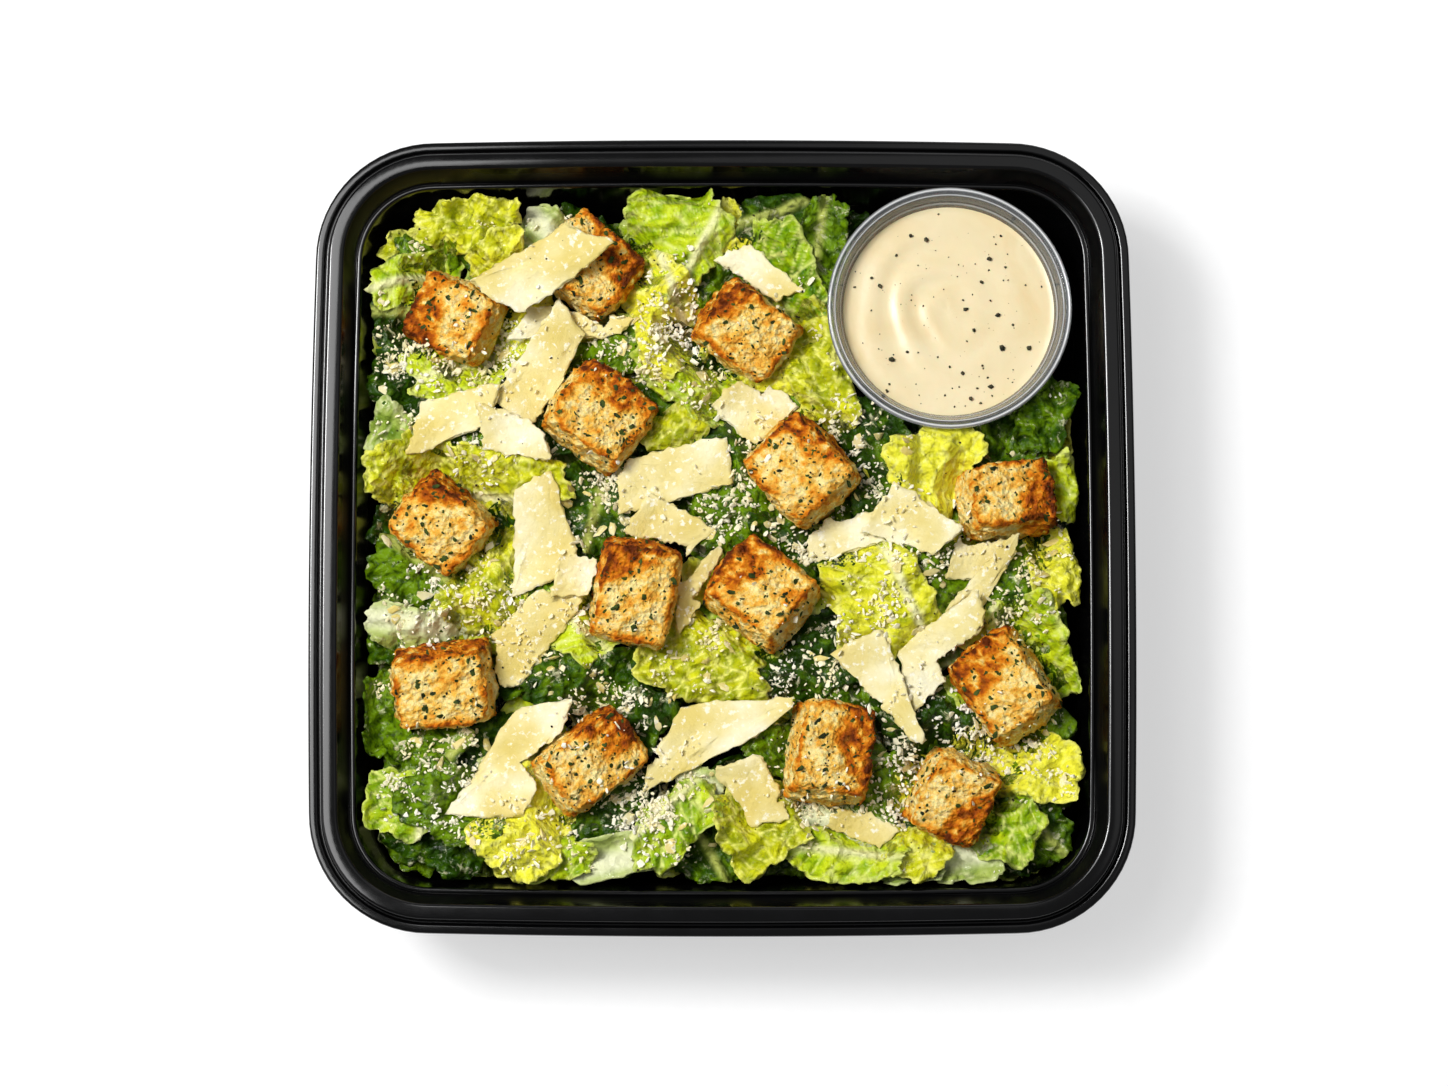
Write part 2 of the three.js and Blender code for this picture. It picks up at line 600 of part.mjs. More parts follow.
// A flake breaks off against a crouton that would cover little of it, and else lies on top of it.
function laidShaving(shaving, index, croutons, rooms, flakes) {
  const sheetAt = (z) => toSolid(lay(shavingSheet(shaving, index), shaving, z));
  const low = sheetAt(bedHeight(shaving[0], shaving[1]) + FLAKE_LIFT);
  const covered = rooms.reduce((sum, room) => sum + low.intersect(room).volume(), 0);
  const broken = covered < BROKEN_SHARE * low.volume();
  const z = restingHeight(shaving, index, broken ? flakes : [...croutons, ...flakes]);
  const sheet = broken ? rooms.reduce((rest, room) => rest.subtract(room), sheetAt(z)) : sheetAt(z);
  return { solid: largestPiece(sheet), z };
}

// The air from just under a flake upwards, which no leaf may enter.
function shavingRoom(shaving, index, z) {
  const depth = flakeDip(shaving, index) + TOPPING_GAP;
  return toSolid(lay(flakePrism(shaving, index, { grown: 0.4, depth, height: 30 }), shaving, z));
}

const croutonGeometries = CROUTONS.map((crouton, i) => settle(croutonGeometry(crouton, i), crouton));
const croutonSolids = croutonGeometries.map(toSolid);
const croutonRooms = CROUTONS.map(croutonRoom);
const laidShavings = [];
SHAVINGS.forEach((shaving, i) => {
  const flakes = laidShavings.map(({ solid }) => solid);
  laidShavings.push(laidShaving(shaving, i, croutonSolids, croutonRooms, flakes));
});

// The room that the pot takes up in the heap, with the air over it.
function potRoom() {
  const grown = 0.6;
  const profile = [
    [0, -grown],
    [POT.footRadius + grown, -grown],
    [potRadius(POT.height - 5) + grown, POT.height - 5],
    [POT.rimRadius + grown, POT.height - 2.5],
    [POT.rimRadius + grown, 40],
    [0, 40],
  ];
  const geometry = turned(profile, POT_STEPS);
  geometry.translate(POT.x, POT.y, POT.floor);
  return toSolid(geometry);
}

// The heap: bed, leaves and crumbs fused, less the room that the tray, pot and toppings take.
function heapGeometry() {
  const leaves = LEAVES.flatMap((leaf, i) => leafSolids(leaf, i));
  let heap = leaves.reduce((whole, leaf) => whole.add(leaf), toSolid(bedGeometry()));
  heap = heap.intersect(CAVITY).subtract(potRoom());
  croutonRooms.forEach((room) => {
    heap = heap.subtract(room);
  });
  SHAVINGS.forEach((shaving, i) => {
    heap = heap.subtract(shavingRoom(shaving, i, laidShavings[i].z));
  });
  return toGeometry(largestPiece(heap));
}

const material = (color, roughness) => new THREE.MeshStandardMaterial({ color, roughness, metalness: 0 });
const BLACK_SHEET = material(0x1c1d1e, 0.35);
const CLEAR_PET = new THREE.MeshStandardMaterial({
  color: 0xe4e6e4,
  roughness: 0.08,
  metalness: 0,
  transparent: true,
  opacity: 0.35,
});
const CREAMY_DRESSING = material(0xf3e2b8, 0.3);
const ROMAINE = material(0x7f9a2a, 0.45);
const TOASTED_BREAD = material(0xd79a3c, 0.8);
const PARMESAN = material(0xf3e3a8, 0.5);

const salad = new THREE.Group();
salad.name = "caesar_salad";

function add(name, geometry, finish) {
  const mesh = new THREE.Mesh(geometry, finish);
  mesh.name = name;
  salad.add(mesh);
  return mesh;
}

const numbered = (name, index) => name + "_" + String(index + 1).padStart(2, "0");

add("tray", trayGeometry, BLACK_SHEET);
add("romaine_heap", heapGeometry(), ROMAINE);
add("dressing_pot", potGeometry, CLEAR_PET).position.set(POT.x, POT.y, POT.floor);
add("dressing", dressingGeometry(), CREAMY_DRESSING).position.set(POT.x, POT.y, POT.floor);
croutonGeometries.forEach((geometry, i) => add(numbered("crouton", i), geometry, TOASTED_BREAD));
laidShavings.forEach(({ solid }, i) => add(numbered("shaving", i), toGeometry(solid), PARMESAN));

export default salad;
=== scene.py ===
"""Dresses a caesar salad in a square black takeaway tray, on the solids of its frame.

Sizes in the classes are in millimetres; meshes are made in metres, in the frame's own axes.
"""

import json
import logging
import math
from contextlib import contextmanager
from dataclasses import dataclass, field
from enum import Enum, IntEnum
from itertools import combinations
from typing import Iterator

import bmesh
import bpy
import numpy as np
from mathutils import Euler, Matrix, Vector, noise
from mathutils.bvhtree import BVHTree

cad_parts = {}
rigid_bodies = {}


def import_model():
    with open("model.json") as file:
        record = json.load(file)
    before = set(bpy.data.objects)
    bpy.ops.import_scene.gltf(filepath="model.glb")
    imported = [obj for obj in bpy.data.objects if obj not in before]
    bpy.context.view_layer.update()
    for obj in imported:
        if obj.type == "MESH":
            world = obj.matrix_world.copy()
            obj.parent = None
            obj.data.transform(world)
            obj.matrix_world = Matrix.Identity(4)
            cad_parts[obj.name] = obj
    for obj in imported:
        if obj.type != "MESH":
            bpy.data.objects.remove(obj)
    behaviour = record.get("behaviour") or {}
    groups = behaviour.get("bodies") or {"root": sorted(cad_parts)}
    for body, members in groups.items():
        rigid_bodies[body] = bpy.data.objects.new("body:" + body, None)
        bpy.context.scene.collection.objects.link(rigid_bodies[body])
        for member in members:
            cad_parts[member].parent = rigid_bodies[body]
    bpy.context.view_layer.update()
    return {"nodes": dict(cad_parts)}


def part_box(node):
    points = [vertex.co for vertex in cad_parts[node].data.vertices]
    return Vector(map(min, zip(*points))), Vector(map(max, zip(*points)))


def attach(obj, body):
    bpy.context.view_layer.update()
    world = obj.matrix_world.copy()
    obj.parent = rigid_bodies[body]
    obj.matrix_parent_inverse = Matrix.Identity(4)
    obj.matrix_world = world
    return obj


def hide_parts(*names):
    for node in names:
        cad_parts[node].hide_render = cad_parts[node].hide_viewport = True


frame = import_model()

log = logging.getLogger("salad")
MM = 0.001
BODY = "root"
CROUTON_NODES = sorted(name for name in frame["nodes"] if name.startswith("crouton"))
SHAVING_NODES = sorted(name for name in frame["nodes"] if name.startswith("shaving"))
UP, DOWN = Vector((0, 0, 1)), Vector((0, 0, -1))
ABOVE_ALL = 0.09  # Metres; where rays that look down on the salad start.
FULL_TURN = 6.3  # Radians, a little over one turn; the upper end of a drawn angle or phase.
TINY = 1e-6  # Keeps a division away from zero.
MULTIPLY = {"operation": "MULTIPLY"}
MULTIPLY_ADD = {"operation": "MULTIPLY_ADD"}
COLOURS = {"data_type": "RGBA"}


class Seed(IntEnum):
    """Where each kind of random draws starts."""

    GAPS = 7
    STREWING = 11
    GRATED = 12
    HERBS = 13
    PEPPER = 14
    STIRRED = 15
    BITS = 16
    LEAVES = 500


# Shader and mesh helpers.


def linear(code: str) -> tuple[float, float, float, float]:
    """Turns an sRGB hex colour into linear values with full alpha."""
    parts = [int(code[i : i + 2], 16) / 255 for i in (1, 3, 5)]
    turned = [c / 12.92 if c <= 0.04045 else ((c + 0.055) / 1.055) ** 2.4 for c in parts]
    return (*turned, 1.0)


def fill_inputs(tree: bpy.types.NodeTree, node: bpy.types.Node, values: dict) -> None:
    """Sets or links a node's inputs.

    Args:
        tree: The material's node tree.
        node: The node that takes the values.
        values: Plain values, output sockets or nodes for their first output, by the input's name or
            number.
    """
    for key, value in values.items():
        if isinstance(value, bpy.types.Node):
            value = value.outputs[0]
        if isinstance(value, bpy.types.NodeSocket):
            tree.links.new(value, node.inputs[key])
        else:
            node.inputs[key].default_value = value


def add_node(
    tree: bpy.types.NodeTree, kind: str, settings: dict | None = None, links: dict | None = None
) -> bpy.types.Node:
    """Adds a shader node with its settings and links.

    Args:
        tree: The material's node tree.
        kind: The node's type, without the words ShaderNode.
        settings: The node's properties. For a colour ramp, stops is a list of (place, hex colour).
        links: The node's inputs, as fill_inputs takes them.

    Returns:
        The new node.
    """
    node = tree.nodes.new("ShaderNode" + kind)
    for key, value in (settings or {}).items():
        if key != "stops":
            setattr(node, key, value)
            continue
        elements = node.color_ramp.elements
        while len(elements) < len(value):
            elements.new(0.5)
        for element, (place, code) in zip(elements, value):
            element.position = place
            element.color = linear(code)
    fill_inputs(tree, node, links or {})
    return node


def pattern(place: bpy.types.NodeSocket, size_mm: float, **more: float) -> dict:
    """Gives the inputs of a texture whose features have this size on the object."""
    return {"Vector": place, "Scale": 1 / (size_mm * MM), **more}


def ramp(values: np.ndarray, start: float, length: float) -> np.ndarray:
    """Rises from 0 to 1 over a length, from a start."""
    return np.clip((values - start) / length, 0, 1)


def deselect_all() -> None:
    """Deselects every object, as the frame's nodes come in selected."""
    for thing in bpy.context.view_layer.objects:
        thing.select_set(False)


def pick(thing: bpy.types.Object) -> None:
    """Makes one object the only selected and the active one."""
    deselect_all()
    thing.select_set(True)
    bpy.context.view_layer.objects.active = thing


@contextmanager
def edit_mode(thing: bpy.types.Object, select: str = "SELECT") -> Iterator[None]:
    """Opens an object for edit-mode operators.

    Args:
        thing: The object to shape.
        select: SELECT or DESELECT, for all of its mesh.
    """
    pick(thing)
    bpy.ops.object.mode_set(mode="EDIT")
    bpy.ops.mesh.select_all(action=select)
    yield
    bpy.ops.object.mode_set(mode="OBJECT")


def apply_modifier(thing: bpy.types.Object, kind: str, **settings: object) -> None:
    """Adds a modifier with its settings and applies it."""
    pick(thing)
    modifier = thing.modifiers.new(kind.title(), kind)
    for key, value in settings.items():
        setattr(modifier, key, value)
    bpy.ops.object.modifier_apply(modifier=modifier.name)


def shade_smooth(thing: bpy.types.Object, degrees: float) -> None:
    """Shades an object smooth up to an angle between its faces."""
    pick(thing)
    bpy.ops.object.shade_smooth_by_angle(angle=math.radians(degrees))


def read_points(mesh: bpy.types.Mesh) -> np.ndarray:
    """Reads a mesh's points as rows, in millimetres."""
    flat = np.empty(len(mesh.vertices) * 3, dtype=np.float32)
    mesh.vertices.foreach_get("co", flat)
    return flat.reshape(-1, 3).astype(float) / MM


def write_points(mesh: bpy.types.Mesh, points: np.ndarray) -> None:
    """Writes rows of millimetres back to a mesh's points."""
    mesh.vertices.foreach_set("co", (points * MM).astype(np.float32).ravel())
    mesh.update()


def set_attribute(mesh: bpy.types.Mesh, name: str, values: np.ndarray) -> None:
    """Stores one number for each of a mesh's points."""
    layer = mesh.attributes.new(name, "FLOAT", "POINT")
    layer.data.foreach_set("value", values.astype(np.float32).ravel())


def add_object(name: str, data: bpy.types.ID) -> bpy.types.Object:
    """Adds an object with this data to the scene."""
    thing = bpy.data.objects.new(name, data)
    bpy.context.scene.collection.objects.link(thing)
    return thing


def joined_mesh(name: str, batches: list["Batch"], smooth: bool = True) -> bpy.types.Object:
    """Makes one object of many small meshes.

    Args:
        name: The object's name.
        batches: The meshes, in millimetres, which all carry the same attributes.
        smooth: Whether its faces are shaded into each other.

    Returns:
        The new object.
    """
    starts = np.cumsum([0] + [len(batch.points) for batch in batches[:-1]])
    points = np.concatenate([batch.points for batch in batches])
    faces = [tuple(f) for batch, start in zip(batches, starts) for f in (batch.faces + start).tolist()]
    mesh = bpy.data.meshes.new(name)
    mesh.from_pydata((points * MM).tolist(), [], faces)
    for key in batches[0].attributes:
        set_attribute(mesh, key, np.concatenate([batch.attributes[key] for batch in batches]))
    if smooth:
        mesh.shade_smooth()
    mesh.validate()
    return add_object(name, mesh)


def copy_of_nodes(name: str, nodes: list[str]) -> bpy.types.Object:
    """Copies the meshes of some of the frame's nodes into one new object and merges their points."""
    joined = bmesh.new()
    for node in nodes:
        joined.from_mesh(frame["nodes"][node].data)
    bmesh.ops.remove_doubles(joined, verts=joined.verts, dist=0.01 * MM)
    mesh = bpy.data.meshes.new(name)
    joined.to_mesh(mesh)
    joined.free()
    mesh.materials.clear()
    return add_object(name, mesh)


def finish_piece(thing: bpy.types.Object, finish: "Finish", nodes: list[str]) -> None:
    """Dresses a piece, lets it ride on the salad's one body and hides the nodes it stands for."""
    thing.data.materials.clear()
    thing.data.materials.append(finish.material())
    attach(thing, BODY)
    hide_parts(*nodes)
    log.info("%s: %d faces", thing.name, len(thing.data.polygons))


@dataclass
class Batch:
    """A small mesh that is joined with others of its kind.

    Attributes:
        points: Rows of x, y and z, in millimetres.
        faces: Rows of corner numbers.
        attributes: One number for each point, by name.
    """

    points: np.ndarray
    faces: np.ndarray
    attributes: dict[str, np.ndarray] = field(default_factory=dict)


# The materials.


@dataclass(frozen=True)
class Finish:
    """A real material, as its surface was made."""

    name: str

    def paint(self, tree: bpy.types.NodeTree, place: bpy.types.NodeSocket) -> dict:
        """Adds the nodes that give the surface its look.

        Args:
            tree: The material's node tree.
            place: The place on the object.

        Returns:
            The main shader's inputs, as fill_inputs takes them.
        """
        raise NotImplementedError

    def material(self) -> bpy.types.Material:
        """Makes the Blender material, once for each name."""
        made = bpy.data.materials.get(self.name)
        if made is None:
            made = bpy.data.materials.new(self.name)
            made.use_nodes = True
            tree = made.node_tree
            place = add_node(tree, "TexCoord").outputs["Object"]
            fill_inputs(tree, tree.nodes["Principled BSDF"], self.paint(tree, place))
        return made


@dataclass(frozen=True)
class MouldedPolypropylene(Finish):
    """Black polypropylene, thermoformed: a satin rim that draws bright lines along each bend, and a
    dull inner wall where the sheet was drawn over the mould.

    Attributes:
        roughness: Of the rim between its scuffs.
        skin_mm: Size of the orange peel.
    """

    roughness: float = 0.06
    skin_mm: float = 1.6

    def paint(self, tree: bpy.types.NodeTree, place: bpy.types.NodeSocket) -> dict:
        """Adds a faint orange peel and slight scuffs to the black sheet."""
        drawn = add_node(tree, "Attribute", {"attribute_name": "drawn"}).outputs["Fac"]
        scuffs = add_node(tree, "TexNoise", links=pattern(place, 14, Detail=6.0, Roughness=0.7))
        rough = add_node(tree, "Math", MULTIPLY_ADD, {0: drawn, 1: 0.5, 2: self.roughness})
        peel = add_node(tree, "TexNoise", links=pattern(place, self.skin_mm, Detail=2.0))
        bump = add_node(tree, "Bump", links={"Height": peel, "Strength": 0.04, "Distance": 0.04 * MM})
        blacks = {"stops": [(0.35, "#030303"), (0.7, "#060607")]}
        return {
            "IOR": 1.49,
            "Base Color": add_node(tree, "ValToRGB", blacks, {"Fac": scuffs}),
            "Roughness": add_node(tree, "Math", MULTIPLY_ADD, {0: scuffs, 1: 0.1, 2: rough}),
            "Specular IOR Level": add_node(
                tree, "MapRange", links={"Value": drawn, "To Min": 0.5, "To Max": 0.015}
            ),
            "Normal": bump,
        }


@dataclass(frozen=True)
class ThermoformedPet(Finish):
    """Clear PET, thermoformed: nearly colourless, with painted highlights and grey reflections on the
    ridges of its rim, where it is made less clear.
    """

    def paint(self, tree: bpy.types.NodeTree, place: bpy.types.NodeSocket) -> dict:
        """Makes the wall see-through, with faint draw marks from the mould, and paints white highlights and
        grey reflections on the marked ridges.
        """
        frost = add_node(tree, "Attribute", {"attribute_name": "frost"}).outputs["Fac"]
        marks = add_node(tree, "TexNoise", links=pattern(place, 5, Detail=3.0))
        bump = add_node(tree, "Bump", links={"Height": marks, "Strength": 0.1, "Distance": 0.08 * MM})
        # White and grey over the marked ridges are painted highlights and painted reflections, which also
        # make the sheet less clear there.
        highlight_tints = {"stops": [(0.0, "#f6f8f6"), (0.3, "#a2a5a8"), (1.0, "#ffffff")]}
        return {
            "Roughness": 0.03,
            "IOR": 1.57,
            "Base Color": add_node(tree, "ValToRGB", highlight_tints, {"Fac": frost}),
            "Transmission Weight": add_node(
                tree, "MapRange", links={"Value": frost, "To Min": 1.0, "To Max": 0.2}
            ),
            "Normal": bump,
        }


@dataclass(frozen=True)
class CreamyDressing(Finish):
    """Caesar dressing, whisked: thick and creamy, with a soft sheen and fine flecks of pepper in it."""

    def paint(self, tree: bpy.types.NodeTree, place: bpy.types.NodeSocket) -> dict:
        """Adds cloudy cream tones, fine ground pepper and the soft sheen."""
        clouds = add_node(tree, "TexNoise", links=pattern(place, 16, Detail=4.0, Distortion=0.6))
        creams = {"stops": [(0.3, "#e5cf9e"), (0.5, "#ead8ac"), (0.72, "#eedfb8")]}
        cream = add_node(tree, "ValToRGB", creams, {"Fac": clouds})
        ground = add_node(tree, "TexVoronoi", {"feature": "F1"}, pattern(place, 2.3))
        flecks = {"stops": [(0.035, "#ffffff"), (0.075, "#000000")]}
        fleck = add_node(tree, "ValToRGB", flecks, {"Fac": ground})
        faint = add_node(tree, "Math", MULTIPLY, {0: fleck, 1: 0.55})
        flecked = add_node(tree, "Mix", COLOURS, {0: faint, 6: cream, 7: linear("#a98d5c")})
        ripple = add_node(tree, "TexNoise", links=pattern(place, 3, Detail=5.0))
        bump = add_node(tree, "Bump", links={"Height": ripple, "Strength": 0.34, "Distance": 0.25 * MM})
        return {
            "Roughness": 0.27,
            "IOR": 1.45,
            "Subsurface Weight": 0.12,
            "Subsurface Scale": 2 * MM,
            "Base Color": flecked.outputs[2],
            "Normal": bump,
        }


@dataclass(frozen=True)
class RomaineLeaf(Finish):
    """Fresh romaine, cut and tossed: blistered blades that shine with water and thin smears of dressing.

    Attributes:
        deep: The blade's darkest tone, where its random tone runs low.
        blade: The blade's own colour.
        light: The blade's lightest tone, where its random tone runs high.
        vein: The net of side veins; on the outer leaf it is a darker green, which is painted shade in the
            creases between the blisters and along the margin.
        rib: The pale midrib.
        smear: The share of the blade that has a film of dressing, from 0 to 1.
        pucker: How strongly the skin is puckered, from 0 to 1.
    """

    deep: str = "#0e2201"
    blade: str = "#2c4e03"
    light: str = "#6c8e08"
    # This default vein green is darker than the blade: on the outer leaf it is painted shade in the creases
    # between the blisters.
    vein: str = "#243f03"
    rib: str = "#b3bb5c"
    smear: float = 0.4
    pucker: float = 0.95

    def paint(self, tree: bpy.types.NodeTree, place: bpy.types.NodeSocket) -> dict:
        """Adds blade tones, veins, rib, dressing film, wet patches and the blade's fine puckers."""
        names = ("vein", "rib", "age")
        vein, rib, age = (
            add_node(tree, "Attribute", {"attribute_name": name}).outputs["Fac"] for name in names
        )
        clouds = add_node(tree, "TexNoise", links=pattern(place, 4.6, Detail=5.0))
        tone = add_node(tree, "Math", MULTIPLY_ADD, {0: age, 1: 0.6, 2: clouds})
        shifted = add_node(tree, "Math", {"operation": "SUBTRACT"}, {0: tone, 1: 0.3})
        greens = {"stops": [(0.26, self.deep), (0.48, self.blade), (0.7, self.light)]}
        colour = add_node(tree, "ValToRGB", greens, {"Fac": shifted})
        # Veins and rib are laid over the blade; on the outer leaf the darker vein colour paints shade into
        # its creases.
        for share, over in ((vein, self.vein), (rib, self.rib)):
            colour = add_node(tree, "Mix", COLOURS, {0: share, 6: colour, 7: linear(over)}).outputs[2]
        smears = add_node(
            tree, "TexNoise", links=pattern(place, 3.4, Detail=6.0, Roughness=0.68, Distortion=0.6)
        )
        edge = 0.7 - 0.3 * self.smear
        ends = ("From Min", "From Max", "To Min", "To Max")
        spans = ((edge, edge + 0.07, 0.0, 0.7), (0.3, 0.7, 0.4, 0.24), (0.42, 0.56, 0.0, 1.0))
        film, gloss, water = (
            add_node(tree, "MapRange", links={"Value": smears, **dict(zip(ends, span))}) for span in spans
        )
        coated = add_node(tree, "Mix", COLOURS, {0: film, 6: colour, 7: linear("#dedcae")})
        blisters = pattern(place, 2.2, Smoothness=0.4)
        puckers = add_node(tree, "TexVoronoi", {"feature": "SMOOTH_F1"}, blisters)
        skin = add_node(tree, "TexNoise", links=pattern(place, 0.8, Detail=3.0))
        relief = add_node(tree, "Math", MULTIPLY_ADD, {0: skin, 1: 0.5, 2: puckers})
        raised = {"Height": relief, "Strength": self.pucker, "Distance": 1.1 * MM}
        bump = add_node(tree, "Bump", links=raised)
        return {
            "IOR": 1.42,
            "Specular IOR Level": 0.14,
            "Coat Roughness": 0.07,
            "Coat IOR": 1.36,
            "Coat Weight": water,
            "Coat Normal": bump,
            "Base Color": coated.outputs[2],
            "Roughness": gloss,
            "Normal": bump,
        }


@dataclass(frozen=True)
class ToastedBread(Finish):
    """White bread, cubed and oven-toasted: an open golden crumb that browns at its edges and crust."""

    def paint(self, tree: bpy.types.NodeTree, place: bpy.types.NodeSocket) -> dict:
        """Adds the browning, painted shade in the pores of the crumb, and its dry grain."""
        toast = add_node(tree, "Attribute", {"attribute_name": "toast"}).outputs["Fac"]
        pore = add_node(tree, "Attribute", {"attribute_name": "pore"}).outputs["Fac"]
        clouds = add_node(tree, "TexNoise", links=pattern(place, 2.6, Detail=8.0, Roughness=0.72))
        browning = add_node(tree, "Math", MULTIPLY_ADD, {0: clouds, 1: 0.76, 2: toast})
        crumb = [(0.33, "#ffea9e"), (0.44, "#f9c350"), (0.6, "#e48710")]
        crust = [(0.78, "#b25506"), (0.98, "#602602")]
        bread = add_node(tree, "ValToRGB", {"stops": crumb + crust}, {"Fac": browning})
        # A darker brown in the pores is painted shade in the crumb's hollows.
        with_pore_shade = add_node(tree, "Mix", COLOURS, {0: pore, 6: bread, 7: linear("#bb7418")})
        fine = add_node(tree, "TexVoronoi", {"feature": "F1"}, pattern(place, 1.3))
        dust = add_node(tree, "TexNoise", links=pattern(place, 0.6, Detail=4.0))
        relief = add_node(tree, "Math", MULTIPLY_ADD, {0: dust, 1: 0.8, 2: fine})
        bump = add_node(tree, "Bump", links={"Height": relief, "Strength": 1.0, "Distance": 0.9 * MM})
        return {
            "Roughness": 0.6,
            "IOR": 1.4,
            "Specular IOR Level": 0.22,
            "Subsurface Weight": 0.12,
            "Subsurface Radius": (1.0, 0.5, 0.2),
            "Subsurface Scale": 1.2 * MM,
            "Base Color": with_pore_shade.outputs[2],
            "Normal": bump,
        }


@dataclass(frozen=True)
class HardCheese(Finish):
    """Parmesan, shaved or grated: a dry pale-straw paste with fine crystals and a waxy sheen.

    Attributes:
        low: The paste at its most yellow.
        mid: Its own colour.
        high: The paste where it is driest.
        glow: The share of light that scatters inside a flake.
        grit: How rough the torn grain is.
    """

    low: str = "#e0cb70"
    mid: str = "#ebdc96"
    high: str = "#f7f0cc"
    glow: float = 0.12
    grit: float = 0.9

    def paint(self, tree: bpy.types.NodeTree, place: bpy.types.NodeSocket) -> dict:
        """Adds the paste's straw tones, its crystals and the torn grain."""
        clouds = add_node(tree, "TexNoise", links=pattern(place, 16, Detail=5.0))
        straws = {"stops": [(0.36, self.low), (0.5, self.mid), (0.66, self.high)]}
        paste = add_node(tree, "ValToRGB", straws, {"Fac": clouds})
        crystals = add_node(tree, "TexNoise", links=pattern(place, 1.7, Detail=3.0, Roughness=0.6))
        specks = {"stops": [(0.57, "#000000"), (0.66, "#ffffff")]}
        speck = add_node(tree, "ValToRGB", specks, {"Fac": crystals})
        shown = add_node(tree, "Math", MULTIPLY, {0: speck, 1: 0.8})
        specked = add_node(tree, "Mix", COLOURS, {0: shown, 6: paste, 7: linear("#fffbe8")})
        torn = add_node(tree, "TexNoise", links=pattern(place, 0.9, Detail=6.0, Roughness=0.7))
        bump = add_node(tree, "Bump", links={"Height": torn, "Strength": self.grit, "Distance": 0.4 * MM})
        return {
            "Roughness": 0.48,
            "IOR": 1.46,
            "Subsurface Weight": self.glow,
            "Subsurface Radius": (1.0, 0.95, 0.75),
            "Subsurface Scale": 0.6 * MM,
            "Base Color": specked.outputs[2],
            "Normal": bump,
        }


@dataclass(frozen=True)
class DriedSeasoning(Finish):
    """Dried herbs or cracked pepper: tiny dull flakes, each a little lighter or darker than the next.

    Attributes:
        dark: The darkest flakes.
        light: The lightest flakes.
    """

    dark: str = "#161f09"
    light: str = "#425218"

    def paint(self, tree: bpy.types.NodeTree, place: bpy.types.NodeSocket) -> dict:
        """Varies the colour from flake to flake."""
        vary = add_node(tree, "TexNoise", links=pattern(place, 2.2, Detail=2.0))
        tones = {"stops": [(0.35, self.dark), (0.65, self.light)]}
        tone = add_node(tree, "ValToRGB", tones, {"Fac": vary})
        return {"Roughness": 0.75, "Specular IOR Level": 0.2, "Base Color": tone}


@dataclass(frozen=True)
class PaintedBoard(Finish):
    """The studio's pale table top: matt white board with hardly any grain."""

    def paint(self, tree: bpy.types.NodeTree, place: bpy.types.NodeSocket) -> dict:
        """Gives the board its white and a little light of its own, so that it photographs pale."""
        fibre = add_node(tree, "TexNoise", links=pattern(place, 3, Detail=3.0))
        whites = {"stops": [(0.3, "#bcbcbc"), (0.7, "#c0c0c0")]}
        return {
            "Roughness": 0.8,
            "Emission Color": linear("#ffffff"),
            "Emission Strength": 0.54,
            "Base Color": add_node(tree, "ValToRGB", whites, {"Fac": fibre}),
        }


# The tray.


